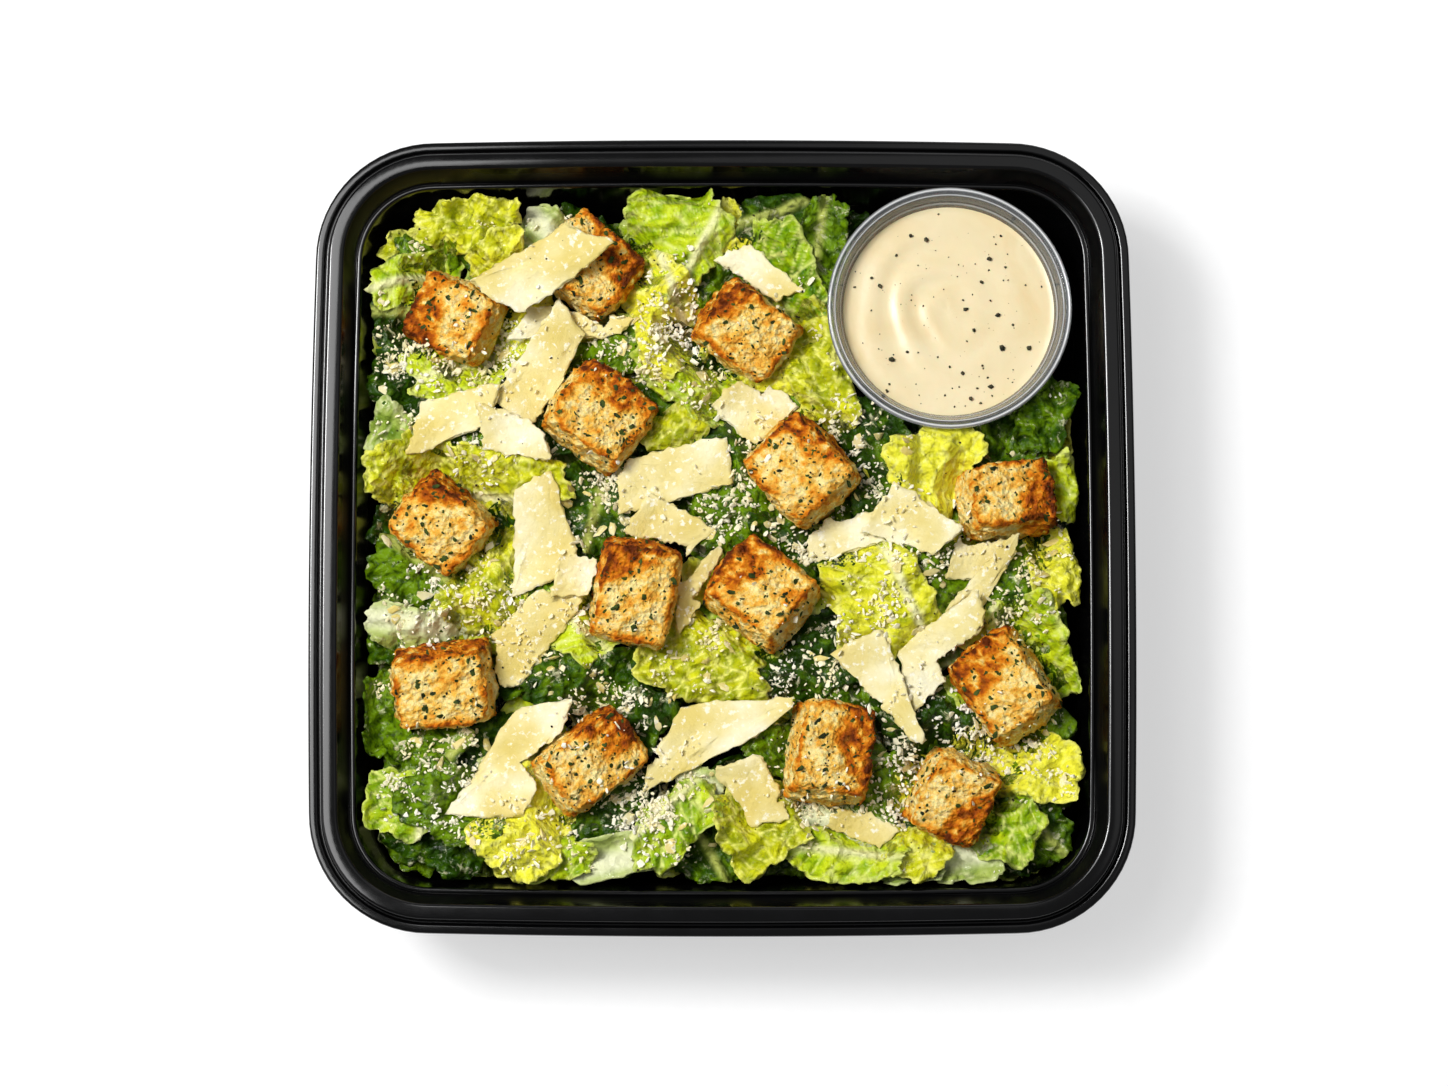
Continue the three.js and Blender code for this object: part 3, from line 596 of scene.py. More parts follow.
@dataclass
class TakeawayTray:
    """The square black tray, thermoformed from one sheet.

    Attributes:
        width: Outer size along X.
        depth: Outer size along Y.
        corner_radius: Of the outer edge, seen from above.
        side_bow: How far the middle of a side stands out past its ends.
        sheet: Thickness of the sheet.
        bend_radius: Of the bends between the bands of the rim.
        corner_segments: Number of steps round a corner.
        side_cuts: Number of cuts along a side.
        face: The upper face from the skirt inwards, as (inset from the edge, height).
    """

    width: float = 208
    depth: float = 202
    corner_radius: float = 30
    side_bow: float = 0.8
    sheet: float = 0.9
    bend_radius: float = 0.7
    corner_segments: int = 16
    side_cuts: int = 27
    face: tuple[tuple[float, float], ...] = (
        (0, 45), (0, 47.9), (2.3, 47.9), (2.5, 46.8), (3.2, 46.8), (3.45, 49.95), (7.2, 49.95),
        (10.1, 44.0), (10.4, 44.5), (11.3, 44.5), (11.6, 43.7), (17.4, 7.0), (19.4, 3.0),
        (22.5, 0.9), (26.5, 0.9), (27.5, 1.7),
    )

    def inset_at(self, z: np.ndarray) -> np.ndarray:
        """Gives the inner wall's inset from the outer edge at some heights."""
        face = sorted((height, inset) for inset, height in (self.face[6], *self.face[10:13]))
        return np.interp(z, [height for height, _ in face], [inset for _, inset in face])

    def over_wall(self, x: np.ndarray, y: np.ndarray, inset: np.ndarray) -> tuple[np.ndarray, ...]:
        """Measures how far points lie outside the tray's outline, moved in by an inset.

        Args:
            x: Places along X.
            y: Places along Y.
            inset: How far in the outline lies for each point.

        Returns:
            The distance, positive outside, and the outward direction's two parts.
        """
        radius = self.corner_radius
        half = np.array([self.width / 2 - self.side_bow, self.depth / 2 - self.side_bow])
        across = np.abs(x) - (half[0] - radius)
        along = np.abs(y) - (half[1] - radius)
        corner = (across > 0) & (along > 0)
        reach = np.hypot(np.maximum(across, 0), np.maximum(along, 0))
        distance = np.where(corner, reach, np.maximum(across, along)) - radius + inset
        safe = np.maximum(reach, TINY)
        out_x = np.where(corner, across / safe, (across >= along).astype(float)) * np.sign(x)
        out_y = np.where(corner, along / safe, (across < along).astype(float)) * np.sign(y)
        return distance, out_x, out_y

    def rounded_face(self) -> list[tuple[float, float]]:
        """Rounds each bend of the face's section with a small arc."""
        points = [np.array(point, dtype=float) for point in self.face]
        rounded = [points[0]]
        for before, bend, after in zip(points, points[1:], points[2:]):
            back, on = before - bend, after - bend
            reach = min(self.bend_radius, 0.45 * np.linalg.norm(back), 0.45 * np.linalg.norm(on))
            start = bend + back / np.linalg.norm(back) * reach
            end = bend + on / np.linalg.norm(on) * reach
            for t in (0.0, 0.25, 0.5, 0.75, 1.0):
                rounded.append((1 - t) ** 2 * start + 2 * t * (1 - t) * bend + t**2 * end)
        rounded.append(points[-1])
        return [(float(inset), float(z)) for inset, z in rounded]

    def build(self) -> bpy.types.Object:
        """Shapes the sheet from a plane by insets along the section, then gives it its thickness."""
        deselect_all()
        profile = self.rounded_face()
        bpy.ops.mesh.primitive_plane_add(size=1, location=(0, 0, profile[0][1] * MM))
        tray = bpy.context.object
        tray.name = tray.data.name = "takeaway_tray"
        tray.scale = ((self.width - 2 * self.side_bow) * MM, (self.depth - 2 * self.side_bow) * MM, 1)
        bpy.ops.object.transform_apply(location=True, rotation=True, scale=True)
        with edit_mode(tray):
            radius = self.corner_radius * MM
            bpy.ops.mesh.bevel(offset=radius, segments=self.corner_segments, affect="VERTICES")
            bpy.ops.mesh.select_all(action="DESELECT")
            shape = bmesh.from_edit_mesh(tray.data)
            for edge in shape.edges:
                edge.select = edge.calc_length() > radius
            bmesh.update_edit_mesh(tray.data)
            bpy.ops.mesh.subdivide(number_cuts=self.side_cuts)
            bpy.ops.mesh.select_all(action="SELECT")
            for (inset, z), (next_inset, next_z) in zip(profile, profile[1:]):
                bpy.ops.mesh.inset(
                    thickness=max(next_inset - inset, 0) * MM,
                    depth=(next_z - z) * MM,
                    use_boundary=True,
                    use_even_offset=True,
                )
        self.bow_sides(tray.data)
        apply_modifier(tray, "SOLIDIFY", thickness=self.sheet * MM, offset=-1, use_even_offset=True)
        points = read_points(tray.data)
        inset = -self.over_wall(points[:, 0], points[:, 1], np.zeros(len(points)))[0]
        band_below_rim = ramp(inset, 7.2, 0.4) * ramp(-inset, -10.05, 0.3)
        inner_wall = ramp(inset, 11.75, 0.4)
        set_attribute(tray.data, "drawn", np.maximum(band_below_rim, inner_wall))
        shade_smooth(tray, 50)
        return tray

    def bow_sides(self, mesh: bpy.types.Mesh) -> None:
        """Moves the middle of each side out a little, as the cooled sheet springs."""
        points = read_points(mesh)
        straight = np.array([self.width, self.depth]) / 2 - self.side_bow - self.corner_radius
        share = np.clip(1 - (points[:, :2] / straight) ** 2, 0, 1)
        near_side = np.clip(np.abs(points[:, :2]) / straight - 1, 0, 0.1) * 10
        points[:, :2] += np.sign(points[:, :2]) * self.side_bow * share[:, ::-1] * near_side
        write_points(mesh, points)

    def dress(self) -> None:
        """Builds the tray and gives it its finish."""
        black = MouldedPolypropylene("Black polypropylene, thermoformed")
        finish_piece(self.build(), black, ["tray"])


# The pot of dressing.


def turned(
    name: str, centre: tuple[float, float], profile: list[tuple[float, float]], steps: int
) -> bpy.types.Object:
    """Turns a closed section by extruding a ring from each of its points to the next.

    Args:
        name: The object's name.
        centre: The axis, as x and y.
        profile: The section as (radius, height), from its first cap to its last.
        steps: Number of sides.

    Returns:
        The turned solid, closed at both ends.
    """
    deselect_all()
    radius, z = profile[0]
    x, y = centre[0] * MM, centre[1] * MM
    bpy.ops.mesh.primitive_circle_add(
        vertices=steps, radius=radius * MM, fill_type="NGON", location=(x, y, z * MM)
    )
    solid = bpy.context.object
    solid.name = solid.data.name = name
    bpy.ops.object.transform_apply(location=True, rotation=True, scale=True)
    with edit_mode(solid, "DESELECT"):
        bpy.ops.mesh.select_mode(type="EDGE")
        for edge in bmesh.from_edit_mesh(solid.data).edges:
            edge.select = True
        bmesh.update_edit_mesh(solid.data)
        for next_radius, next_z in profile[1:]:
            bpy.ops.mesh.extrude_edges_move(TRANSFORM_OT_translate={"value": (0, 0, (next_z - z) * MM)})
            if next_radius != radius:
                share = next_radius / radius
                bpy.ops.transform.resize(value=(share, share, 1), center_override=(x, y, next_z * MM))
            radius, z = next_radius, next_z
        bpy.ops.mesh.edge_face_add()
        bpy.ops.mesh.select_all(action="SELECT")
        bpy.ops.mesh.normals_make_consistent(inside=False)
        bpy.ops.mesh.select_mode(type="VERT")
    return solid


@dataclass
class DressingPot:
    """The clear portion pot and the caesar dressing in it.

    Attributes:
        x: The axis along X.
        y: The axis along Y.
        floor: Height of the pot's foot.
        height: Of the pot.
        rim_radius: Outer radius of the rolled rim.
        foot_radius: Outer radius of the foot.
        wall: Thickness of the wall.
        fill_depth: From the rim down to the dressing.
        steps: Number of sides.
        swirl_depth: Height of the spoon's waves.
        swirl_pitch: From one wave to the next.
        rim: The rolled rim's section from outside to inside, as (inset from its radius, drop below
            its top).
    """

    x: float = 57.5
    y: float = 57.5
    floor: float = 18
    height: float = 31
    rim_radius: float = 31
    foot_radius: float = 22.5
    wall: float = 0.7
    fill_depth: float = 6
    steps: int = 96
    swirl_depth: float = 0.38
    swirl_pitch: float = 8.5
    rim: tuple[tuple[float, float], ...] = (
        (1.7, 1.9), (1.3, 1.65), (0.2, 1.6), (0, 1.3), (0, 0.6), (0.12, 0.25), (0.35, 0.04),
        (0.65, 0), (0.95, 0.15), (1.15, 0.55), (1.5, 0.75), (1.75, 0.4), (2.0, 0.3), (2.25, 0.5),
        (2.4, 1.1),
    )

    def radius_at(self, z: np.ndarray | float) -> np.ndarray | float:
        """Gives the body's outer radius at a height in the frame."""
        share = (z - self.floor) / self.height
        return self.foot_radius + (self.rim_radius - self.rim[-1][0] - self.foot_radius) * share

    def build_pot(self) -> bpy.types.Object:
        """Turns the tapered wall with its stacking step and rolled rim, and marks where highlights are
        painted on them.
        """
        top = self.floor + self.height
        step_low = self.radius_at(top - 4.5)
        step_high = self.radius_at(top - 4) + 0.7
        section = [
            (self.foot_radius - 3, self.floor + 0.6),
            (self.foot_radius - 2, self.floor + 0.05),
            (self.foot_radius - 0.4, self.floor + 0.05),
            (self.foot_radius, self.floor + 0.5),
            (step_low, top - 4.5),
            (step_high - 0.1, top - 4.1),
            (step_high + 0.1, top - 3.7),
            *((self.rim_radius - inset, top - drop) for inset, drop in self.rim),
            (step_high - self.wall, top - 3.3),
            (step_high - self.wall - 0.25, top - 3.8),
            (step_low - self.wall, top - 4.9),
            (self.foot_radius - self.wall + 0.1, self.floor + 2.0),
            (self.foot_radius - self.wall - 0.8, self.floor + 1.4),
        ]
        pot = turned("portion_pot", (self.x, self.y), section, self.steps)
        points = read_points(pot.data)
        reach = self.rim_radius - np.hypot(points[:, 0] - self.x, points[:, 1] - self.y)
        insets = [inset for inset, _ in self.rim[4:]]
        # How strongly each ridge of the rolled rim carries a painted highlight or grey reflection; the
        # stacking step below gets a painted highlight line.
        highlight_shares = (0.3, 0.4, 0.5, 1.0, 0.5, 0.24, 0.2, 0.3, 0.9, 0.3, 0.24)
        on_rim = np.interp(reach, insets, highlight_shares)
        on_wall = 0.04 + 0.75 * np.exp(-(((points[:, 2] - top + 3.8) / 0.2) ** 2))
        set_attribute(pot.data, "frost", np.where(points[:, 2] > top - 2.2, on_rim, on_wall))
        shade_smooth(pot, 40)
        return pot

    def build_fill(self) -> bpy.types.Object:
        """Turns the dressing and draws the spoon's spiral on its top."""
        level = self.floor + self.height - self.fill_depth
        edge = self.radius_at(level) - self.wall + 0.15
        rings = 34
        section = [(self.radius_at(self.floor + 2) - self.wall, self.floor + 1.6), (edge, level)]
        section += [(edge * (1 - k / rings), level) for k in range(1, rings)]
        fill = turned("caesar_dressing", (self.x, self.y), section, self.steps)
        points = read_points(fill.data)
        x, y = points[:, 0] - self.x, points[:, 1] - self.y
        radius, turn = np.hypot(x, y), np.arctan2(y, x)
        fade = np.clip(1.15 - radius / edge, 0, 1) ** 0.7 * np.clip(radius / 9, 0.25, 1)
        uneven = 0.8 * np.sin(2 * turn + 0.7) + 0.5 * np.sin(3 * turn + radius / 4)
        spoon = np.cos(2 * np.pi * radius / self.swirl_pitch - turn + uneven)
        spoon = np.sign(spoon) * np.abs(spoon) ** 0.8
        drift = 0.25 + 0.75 * np.clip(np.cos(turn - 2.9) * 0.8 + 0.4, 0, 1)
        clinging = 0.35 * np.exp(-(edge - radius) / 0.7)
        on_top = points[:, 2] > level - 0.01
        points[on_top, 2] += (self.swirl_depth * fade * spoon * drift + clinging)[on_top]
        write_points(fill.data, points)
        shade_smooth(fill, 60)
        return fill

    def dress(self) -> bpy.types.Object:
        """Builds pot and dressing, and returns the dressing, which takes the pepper."""
        clear = ThermoformedPet("Clear PET, thermoformed")
        finish_piece(self.build_pot(), clear, ["dressing_pot"])
        fill = self.build_fill()
        finish_piece(fill, CreamyDressing("Caesar dressing, whisked"), ["dressing"])
        return fill


# The lettuce.


class LeafPart(Enum):
    """The parts of a romaine head that the salad is cut from."""

    HEART = "heart"
    BRIGHT = "bright"
    DARK = "dark"
    RIB = "rib"


H, B, D, R = LeafPart.HEART, LeafPart.BRIGHT, LeafPart.DARK, LeafPart.RIB
NO_RIB = 9.0


@dataclass(frozen=True)
class CutLeaf:
    """One piece of romaine.

    Attributes:
        x: Its middle along X.
        y: Its middle along Y.
        long: Its length.
        wide: Its width.
        heading: The direction of its length, in degrees.
        part: The part of the head that it comes from.
        tilt: How far its far end is tipped up, in degrees.
        lumps: How strongly it is crumpled.
        rib: Where a rib runs along it, from -1 to 1 across its width, or NO_RIB.
        over: How far it may reach out over the tray's wall.
    """

    x: float
    y: float
    long: float
    wide: float
    heading: float
    part: LeafPart
    tilt: float = 0
    lumps: float = 1.0
    rib: float = NO_RIB
    over: float = 0


LEAVES = [
    CutLeaf(*row)
    for row in (
        # Low pieces that show between the others.
        (-76, 74, 14, 11, 20, D, 5), (-33, 79, 20, 11, -42, D, -6), (-19, 70, 18, 10, -50, D, 8),
        (-4, 68, 20, 16, 30, D, -4), (34, 82, 14, 10, 50, D, 0), (33, 60, 12, 18, 0, D, 0, 1.3),
        (-81, 56, 15, 17, 0, D, -8, 1.0, 0.2), (-84, 41, 20, 19, -50, D, 8, 1.3),
        (-66, 25, 24, 10, -12, D, 0), (-86, 2, 13, 16, 60, D, 0, 1.4), (-30, 46, 20, 12, 15, D, 4),
        (-31, 9, 24, 20, 75, D, 10, 0.8, 0.05), (4, 7, 24, 22, 80, D, 3, 1.2), (2, 22, 20, 16, 10, D, 4),
        (20, -4, 24, 14, -30, D, -4, 1.2), (38, 28, 18, 14, 10, D, -6), (39, 15, 22, 13, 85, D, 6, 1.2),
        (74, 27, 24, 17, 15, D, -6, 1.5), (85, 30, 18, 12, 75, D, 6, 1.5), (89, 12, 16, 9, 90, B, 4, 1.3),
        (56, -10, 20, 16, -60, D, -4, 1.1), (73, -11, 24, 17, 60, D, -6),
        (-79, -9, 27, 20, -35, D, -6, 1.2, 0.1), (-52, -16, 18, 12, 40, D, 0),
        (-35, -37, 32, 18, -8, D, -3, 1.3), (-87, -45, 22, 12, 88, D, 6, 1.5),
        (-20, -48, 18, 12, 60, D, 4, 1.4), (23, -33, 26, 18, 25, D, -4, 1.3),
        (48, -46, 24, 16, -50, D, -3, 1.2), (40, -64, 19, 14, 70, D, 4, 1.3),
        (62, -49, 18, 12, 20, D, 0, 1.2), (16, -52, 18, 14, 60, D, 0, 1.2),
        (-28, -73, 24, 20, 30, D, 5, 1.3), (-4, -79, 20, 18, -60, D, -5, 1.2, 0.0),
        (-71, -79, 22, 15, -40, D, -8, 1.3), (-61, -54, 20, 14, 50, D, 0),
        (80, -74, 22, 16, -45, D, -6, 1.1, 0.1), (-84, -28, 12, 10, 0, D, 0),
        # Pale ribs and heart pieces of the middle layer.
        (-80, 66, 21, 11, 18, B, -4, 0.4, 0.0), (-45, 82, 17, 13, -45, R, 8, 1.0, 0.2),
        (-86, 26, 13, 12, 60, R, 0, 1.2), (-79, -24, 23, 12, -8, R, -3, 1.3, 0.3),
        (25, -71, 29, 11, -26, R, 4, 0.8, 0.0), (61, -82, 17, 11, 10, R, 6, 1.0, 0.2),
        (46, -86, 15, 8, 10, R, 2, 0.9), (-6, -63, 13, 9, -20, R, 4, 0.5, 0.0),
        (-52, -58, 16, 12, 20, R, 0), (3, 80, 12, 10, 60, H, 4, 1.3),
        (-24, -85, 26, 9, 12, R, 4, 0.4, -0.2), (70, 4, 20, 12, 10, H, 0), (-59, -1, 16, 12, 20, H, 6, 1.3),
        (-12, 27, 18, 10, 18, H, 4), (86, -8, 21, 12, -78, H, 8, 1.4), (-88, 15, 10, 12, 80, H, 0),
        (12, 41, 17, 9, -10, H, 4), (48, -81, 16, 13, -10, H, 6, 1.4),
        # Bright green pieces.
        (-13, 82, 31, 25, 62, B, 14, 0.6, -0.6, 6.0), (13, 84, 18, 11, 20, D, 6, 1.2, 0.0, 1.5),
        (25, 76, 25, 13, 82, D, 5, 1.3, 0.1, 1.5), (16, 67, 28, 15, -62, B, -5, 0.8, -0.7),
        (-63, 45, 33, 14, 24, B, -4, 1.1, 0.1), (-7, 39, 28, 16, -36, B, -5, 1.1),
        (-36, -23, 20, 15, -40, B, 6, 0.9, 0.0), (84, -28, 28, 15, -66, B, -8, 0.9, -0.75),
        (-72, -54, 18, 13, 48, D, 4, 0.7, -0.6), (-81, -68, 16, 16, 80, B, -6, 0.7, -0.8),
        (-67, -68, 24, 20, -30, D, 5, 1.2), (-43, -83, 18, 11, 10, B, 4, 1.2),
        (-12, -73, 24, 15, 42, B, 6, 0.6, 0.6), (30, -84, 31, 12, -6, B, 4, 0.9, 0.1),
        (72, -74, 17, 15, 60, B, 5, 1.2), (44, 2, 15, 10, 20, B, 0),
        # Yellow-green heart pieces on top.
        (-65, 80, 26, 14, -4, H, 4, 2.2, NO_RIB, 1.5), (-57, 70, 16, 13, 20, H, 4, 2.0),
        (-50, 55, 16, 14, 40, H, 2), (-81, 17, 24, 18, 25, H, -6, 1.6),
        (-55, 14, 31, 15, -12, H, 4, 1.0, -0.6), (-15, 57, 34, 17, -70, H, 5, 0.8, 0.5),
        (24, 42, 31, 15, -68, H, 5, 1.2), (54, 18, 23, 20, 40, H, 5, 1.3), (-59, -10, 27, 19, 70, H, 4),
        (-4, -32, 31, 21, -18, H, 4, 1.2), (39, -16, 32, 25, -65, H, 3, 0.5, 0.55),
        (-49, -75, 25, 21, 60, H, -4, 1.7), (9, -77, 24, 20, -65, H, -8, 1.5),
        (80, -57, 28, 19, 6, H, 5, 1.5),
    )
]


@dataclass
class Terrain:
    """The heap's height so far, and the height that toppings leave free, on a square grid.

    Attributes:
        half: Half of the grid's size.
        pitch: The grid's step.
        top: Height of what lies on the heap.
        ceiling: Height that a leaf may reach.
        sag: How far a leaf hangs down over one step from a high place.
        slope: The ceiling's rise over one millimetre from what lies on the leaves.
        under_flake: How far leaves stay below a shaving.
        into_bread: How far they reach up beside a crouton, from its top down.
        under_rim: How far they stay below the top of the pot's rim.
        shaving_low: Below every shaving, in metres.
    """

    half: float = 100
    pitch: float = 1.0
    top: np.ndarray = field(default_factory=lambda: np.zeros((201, 201)))
    ceiling: np.ndarray = field(default_factory=lambda: np.full((201, 201), 80.0))
    sag: float = 0.35
    slope: float = 1.1
    under_flake: float = 0.9
    into_bread: float = 5
    under_rim: float = 3.2
    shaving_low: float = 0.025

    def places(self) -> tuple[np.ndarray, np.ndarray]:
        """Gives the grid's places along X and along Y."""
        line = np.arange(-self.half, self.half + self.pitch / 2, self.pitch)
        return np.meshgrid(line, line, indexing="ij")

    def steps(self, line: np.ndarray) -> np.ndarray:
        """Gives places along X or Y as steps of the grid, kept inside it."""
        return np.clip((line + self.half) / self.pitch, 0, len(self.top) - 1.001)

    def sample(self, grid: np.ndarray, x: np.ndarray, y: np.ndarray) -> np.ndarray:
        """Reads a grid between its points."""
        a, b = self.steps(x), self.steps(y)
        i, j = a.astype(int), b.astype(int)
        s, t = a - i, b - j
        low = grid[i, j] * (1 - s) + grid[i + 1, j] * s
        high = grid[i, j + 1] * (1 - s) + grid[i + 1, j + 1] * s
        return low * (1 - t) + high * t

    def resting_surface(self) -> np.ndarray:
        """Gives the smooth surface that a new leaf rests on: it spans the small hollows."""
        spanned = self.top
        for _ in range(2):
            for axis in (0, 1):
                beside = [np.roll(spanned, step, axis) for step in (1, -1)]
                spanned = np.maximum(spanned, np.maximum(*beside) - self.sag)
        for _ in range(3):
            for axis in (0, 1):
                spanned = (2 * spanned + np.roll(spanned, 1, axis) + np.roll(spanned, -1, axis)) / 4
        return spanned

    def cover(self, points: np.ndarray) -> None:
        """Raises the heap to a new leaf's points."""
        a, b = self.steps(points[:, 0]), self.steps(points[:, 1])
        for i in (np.floor(a).astype(int), np.ceil(a).astype(int)):
            for j in (np.floor(b).astype(int), np.ceil(b).astype(int)):
                np.maximum.at(self.top, (i, j), points[:, 2])

    def lower_ceiling(self, shavings: BVHTree, croutons: BVHTree, pot: DressingPot) -> None:
        """Lowers the ceiling to what lies on the leaves, and less and less around it.

        Args:
            shavings: Lie on the leaves, in metres.
            croutons: Stand in the leaves, in metres.
            pot: Its rim hangs over the leaves.
        """
        x, y = self.places()
        for (i, j), across in np.ndenumerate(x):
            spot = (across * MM, y[i, j] * MM)
            hit = shavings.ray_cast(Vector((*spot, self.shaving_low)), UP)[0]
            if hit is not None:
                self.ceiling[i, j] = hit.z / MM - self.under_flake
            hit = croutons.ray_cast(Vector((*spot, ABOVE_ALL)), DOWN)[0]
            if hit is not None:
                self.ceiling[i, j] = min(self.ceiling[i, j], hit.z / MM - self.into_bread)
        by_pot = np.hypot(x - pot.x, y - pot.y) < pot.rim_radius + 0.8
        rim_low = pot.floor + pot.height - self.under_rim
        self.ceiling[by_pot] = np.minimum(self.ceiling[by_pot], rim_low)
        for _ in range(10):
            for axis in (0, 1):
                for step in (1, -1):
                    beside = np.roll(self.ceiling, step, axis) + self.slope * self.pitch
                    self.ceiling = np.minimum(self.ceiling, beside)


@dataclass
class RomaineHeap:
    """The chopped romaine: a bed in near-black painted shade, small pieces in its gaps, and the pieces that
    show on top.

    Attributes:
        tray: The tray that holds it.
        pot: The pot that stands in it.
        edge_height: The heap's height by the wall.
        middle_height: The heap's height in the middle.
        sunk: How far the bed lies below that height.
        pitch: Size of a leaf mesh's faces.
        blister: Size of the puckers between veins.
        thickness: Of a blade.
        usual_height: Where most leaves lie.
        dome_inset: From the tray's edge to the dome's.
        bed_inset: From the tray's edge to the bed's.
        wall_inset: From the tray's edge to its inner wall at the leaves' height.
        terrain: What lies on the heap so far.
        batches: The pieces that were laid, by the part of the head.
    """

    tray: TakeawayTray
    pot: DressingPot
    edge_height: float = 34
    middle_height: float = 41
    sunk: float = 7.5
    pitch: float = 0.58
    blister: float = 3.8
    thickness: float = 0.5
    usual_height: float = 40
    dome_inset: float = 14
    bed_inset: float = 13.5
    wall_inset: float = 11.8
    terrain: Terrain = field(default_factory=Terrain)
    batches: dict[LeafPart, list[Batch]] = field(default_factory=lambda: {part: [] for part in LeafPart})

    def bed_height(self, x: np.ndarray, y: np.ndarray) -> np.ndarray:
        """Gives the heap's height, as its solid has it: a low dome with lumps."""
        across = np.abs(x) / (self.tray.width / 2 - self.dome_inset)
        along = np.abs(y) / (self.tray.depth / 2 - self.dome_inset)
        out = np.clip((across**4 + along**4) ** 0.25, 0, 1)
        dome = self.edge_height + (self.middle_height - self.edge_height) * (1 - out * out)
        return dome + 1.1 * np.sin(x / 8.5 + 0.6) * np.cos(y / 9.5 - 0.4) + 0.7 * np.sin((x + y) / 6)

    def blade(self, leaf: CutLeaf, draw: np.random.Generator, pitch: float) -> dict[str, np.ndarray]:
        """Shapes one piece flat on the board: its outline, crumples, puckers, veins and rib.

        Args:
            leaf: The piece.
            draw: The draws for its uneven form.
            pitch: Size of its faces.

        Returns:
            Grids of x, y, z, fine relief, reach from the middle, vein and rib.
        """
        count_u = max(8, round(leaf.long / pitch))
        count_v = max(6, round(leaf.wide / pitch))
        u, v = np.meshgrid(np.linspace(-1, 1, count_u), np.linspace(-1, 1, count_v), indexing="ij")
        roundness = 0.3 + 0.5 * draw.random()
        x = u * np.sqrt(1 - roundness * v**2 / 2)
        y = v * np.sqrt(1 - roundness * u**2 / 2)
        reach, turn = np.maximum(np.abs(u), np.abs(v)), np.arctan2(y, x)
        ragged = np.ones_like(u)
        notches = ((2, 0.08), (3, 0.08), (5, 0.06), (8, 0.045), (13, 0.03), (21, 0.022), (34, 0.014))
        for waves, size in notches:
            strength = reach**2 * size * draw.uniform(0.4, 1.4)
            ragged += strength * np.sin(waves * turn + draw.uniform(0, FULL_TURN))
        x = leaf.long / 2 * x * ragged * 1.06
        y = leaf.wide / 2 * y * ragged * (1 + draw.uniform(-0.22, 0.22) * u) * 1.06
        ribbed = leaf.rib != NO_RIB
        rib_y = leaf.rib * leaf.wide / 2 if ribbed else 50.0
        rib_width = 3.0 if leaf.part is LeafPart.RIB else 1.15
        rib = np.exp(-(np.abs((y - rib_y) / rib_width) ** 3)) * np.clip(1.5 - 0.9 * u, 0, 1)
        edge = self.vein_net(x, y, rib_y if ribbed else 0.0, leaf, draw)
        dome = ramp(edge, 0, 0.85 * self.blister) ** 0.6
        waves = round((leaf.long + leaf.wide) * 1.6 / 7.5)
        ruffle = ramp(reach, 0.4, 0.6) ** 2 * np.sin(waves * turn + draw.uniform(0, FULL_TURN))
        fine = (2.1 if leaf.part is LeafPart.DARK else 1.6) * (dome - 0.4) * (1 - rib)
        fine = fine + 0.9 * rib + min(leaf.lumps, 1.3) * ruffle
        # The vein share follows the creases between the blisters and the margin; where a finish gives it a
        # darker green, it is painted shade.
        vein = np.maximum(np.exp(-((edge / 0.34) ** 2)), 0.55 * ramp(reach, 0.92, 0.08)) * (1 - rib)
        z = self.crumples(x, y, reach, turn, leaf, draw)
        return {"x": x, "y": y, "z": z, "fine": fine, "reach": reach, "vein": vein, "rib": rib}

    def crumples(
        self,
        x: np.ndarray,
        y: np.ndarray,
        reach: np.ndarray,
        turn: np.ndarray,
        leaf: CutLeaf,
        draw: np.random.Generator,
    ) -> np.ndarray:
        """Gives the heights of a piece's cupping, of its turned-up edge and of its lumps.

        Args:
            x: Places along the piece.
            y: Places across it.
            reach: From its middle, 0, to its edge, 1.
            turn: The angle about its middle.
            leaf: The piece.
            draw: The draws for its form.

        Returns:
            The height for each place.
        """
        z = draw.uniform(-2.2, 2.2) * (y / (leaf.wide / 2)) ** 2
        z += draw.uniform(-2.4, 1.0) * (x / (leaf.long / 2)) ** 2
        side = np.cos(turn - draw.uniform(0, FULL_TURN)) * reach
        z += draw.uniform(0.5, 3.0) * ramp(side, 0.35, 0.65) ** 2
        for size, length in ((0.85, 14), (0.8, 9.5), (0.55, 6.5), (0.3, 4.3)):
            heading = draw.uniform(0, np.pi)
            along = x * np.cos(heading) + y * np.sin(heading)
            across = x * np.sin(heading) - y * np.cos(heading)
            bend = 1.2 * np.sin(across / length * 4 + draw.uniform(0, 6))
            z += leaf.lumps * size * np.sin(2 * np.pi * along / length + bend + draw.uniform(0, FULL_TURN))
        return z

    def vein_net(
        self, x: np.ndarray, y: np.ndarray, rib_y: float, leaf: CutLeaf, draw: np.random.Generator
    ) -> np.ndarray:
        """Gives the distance from the net of veins, which slants away from the rib on both sides.

        On smooth pieces it is combed into long veins, and a rib has its strands along it.

        Args:
            x: Places along the piece.
            y: Places across it.
            rib_y: Where the rib runs.
            leaf: The piece.
            draw: The draws for the net.

        Returns:
            The distance for each place.
        """
        step, combed = self.blister, 1.25 if leaf.lumps > 0.95 else 2.6
        slanted, y, rib_y = x + 0.6 * np.abs(y - rib_y), y / combed, rib_y / combed
        if leaf.part is LeafPart.RIB:
            slanted, y = 1.6 * y * combed, x / 4
        a = np.arange(slanted.min() - 2 * step, slanted.max() + 2 * step, step)
        b = np.arange(y.min() - 2 * step, y.max() + 2 * step, step * 0.8)
        seeds = np.stack(np.meshgrid(a, b, indexing="ij"), -1).reshape(-1, 2)
        seeds = seeds + draw.uniform(-0.42, 0.42, seeds.shape) * step
        spread = (slanted.ravel()[:, None] - seeds[:, 0]) ** 2 + (y.ravel()[:, None] - seeds[:, 1]) ** 2
        nearest = np.sqrt(np.partition(spread, 1, axis=1)[:, :2])
        return (nearest[:, 1] - nearest[:, 0]).reshape(x.shape)

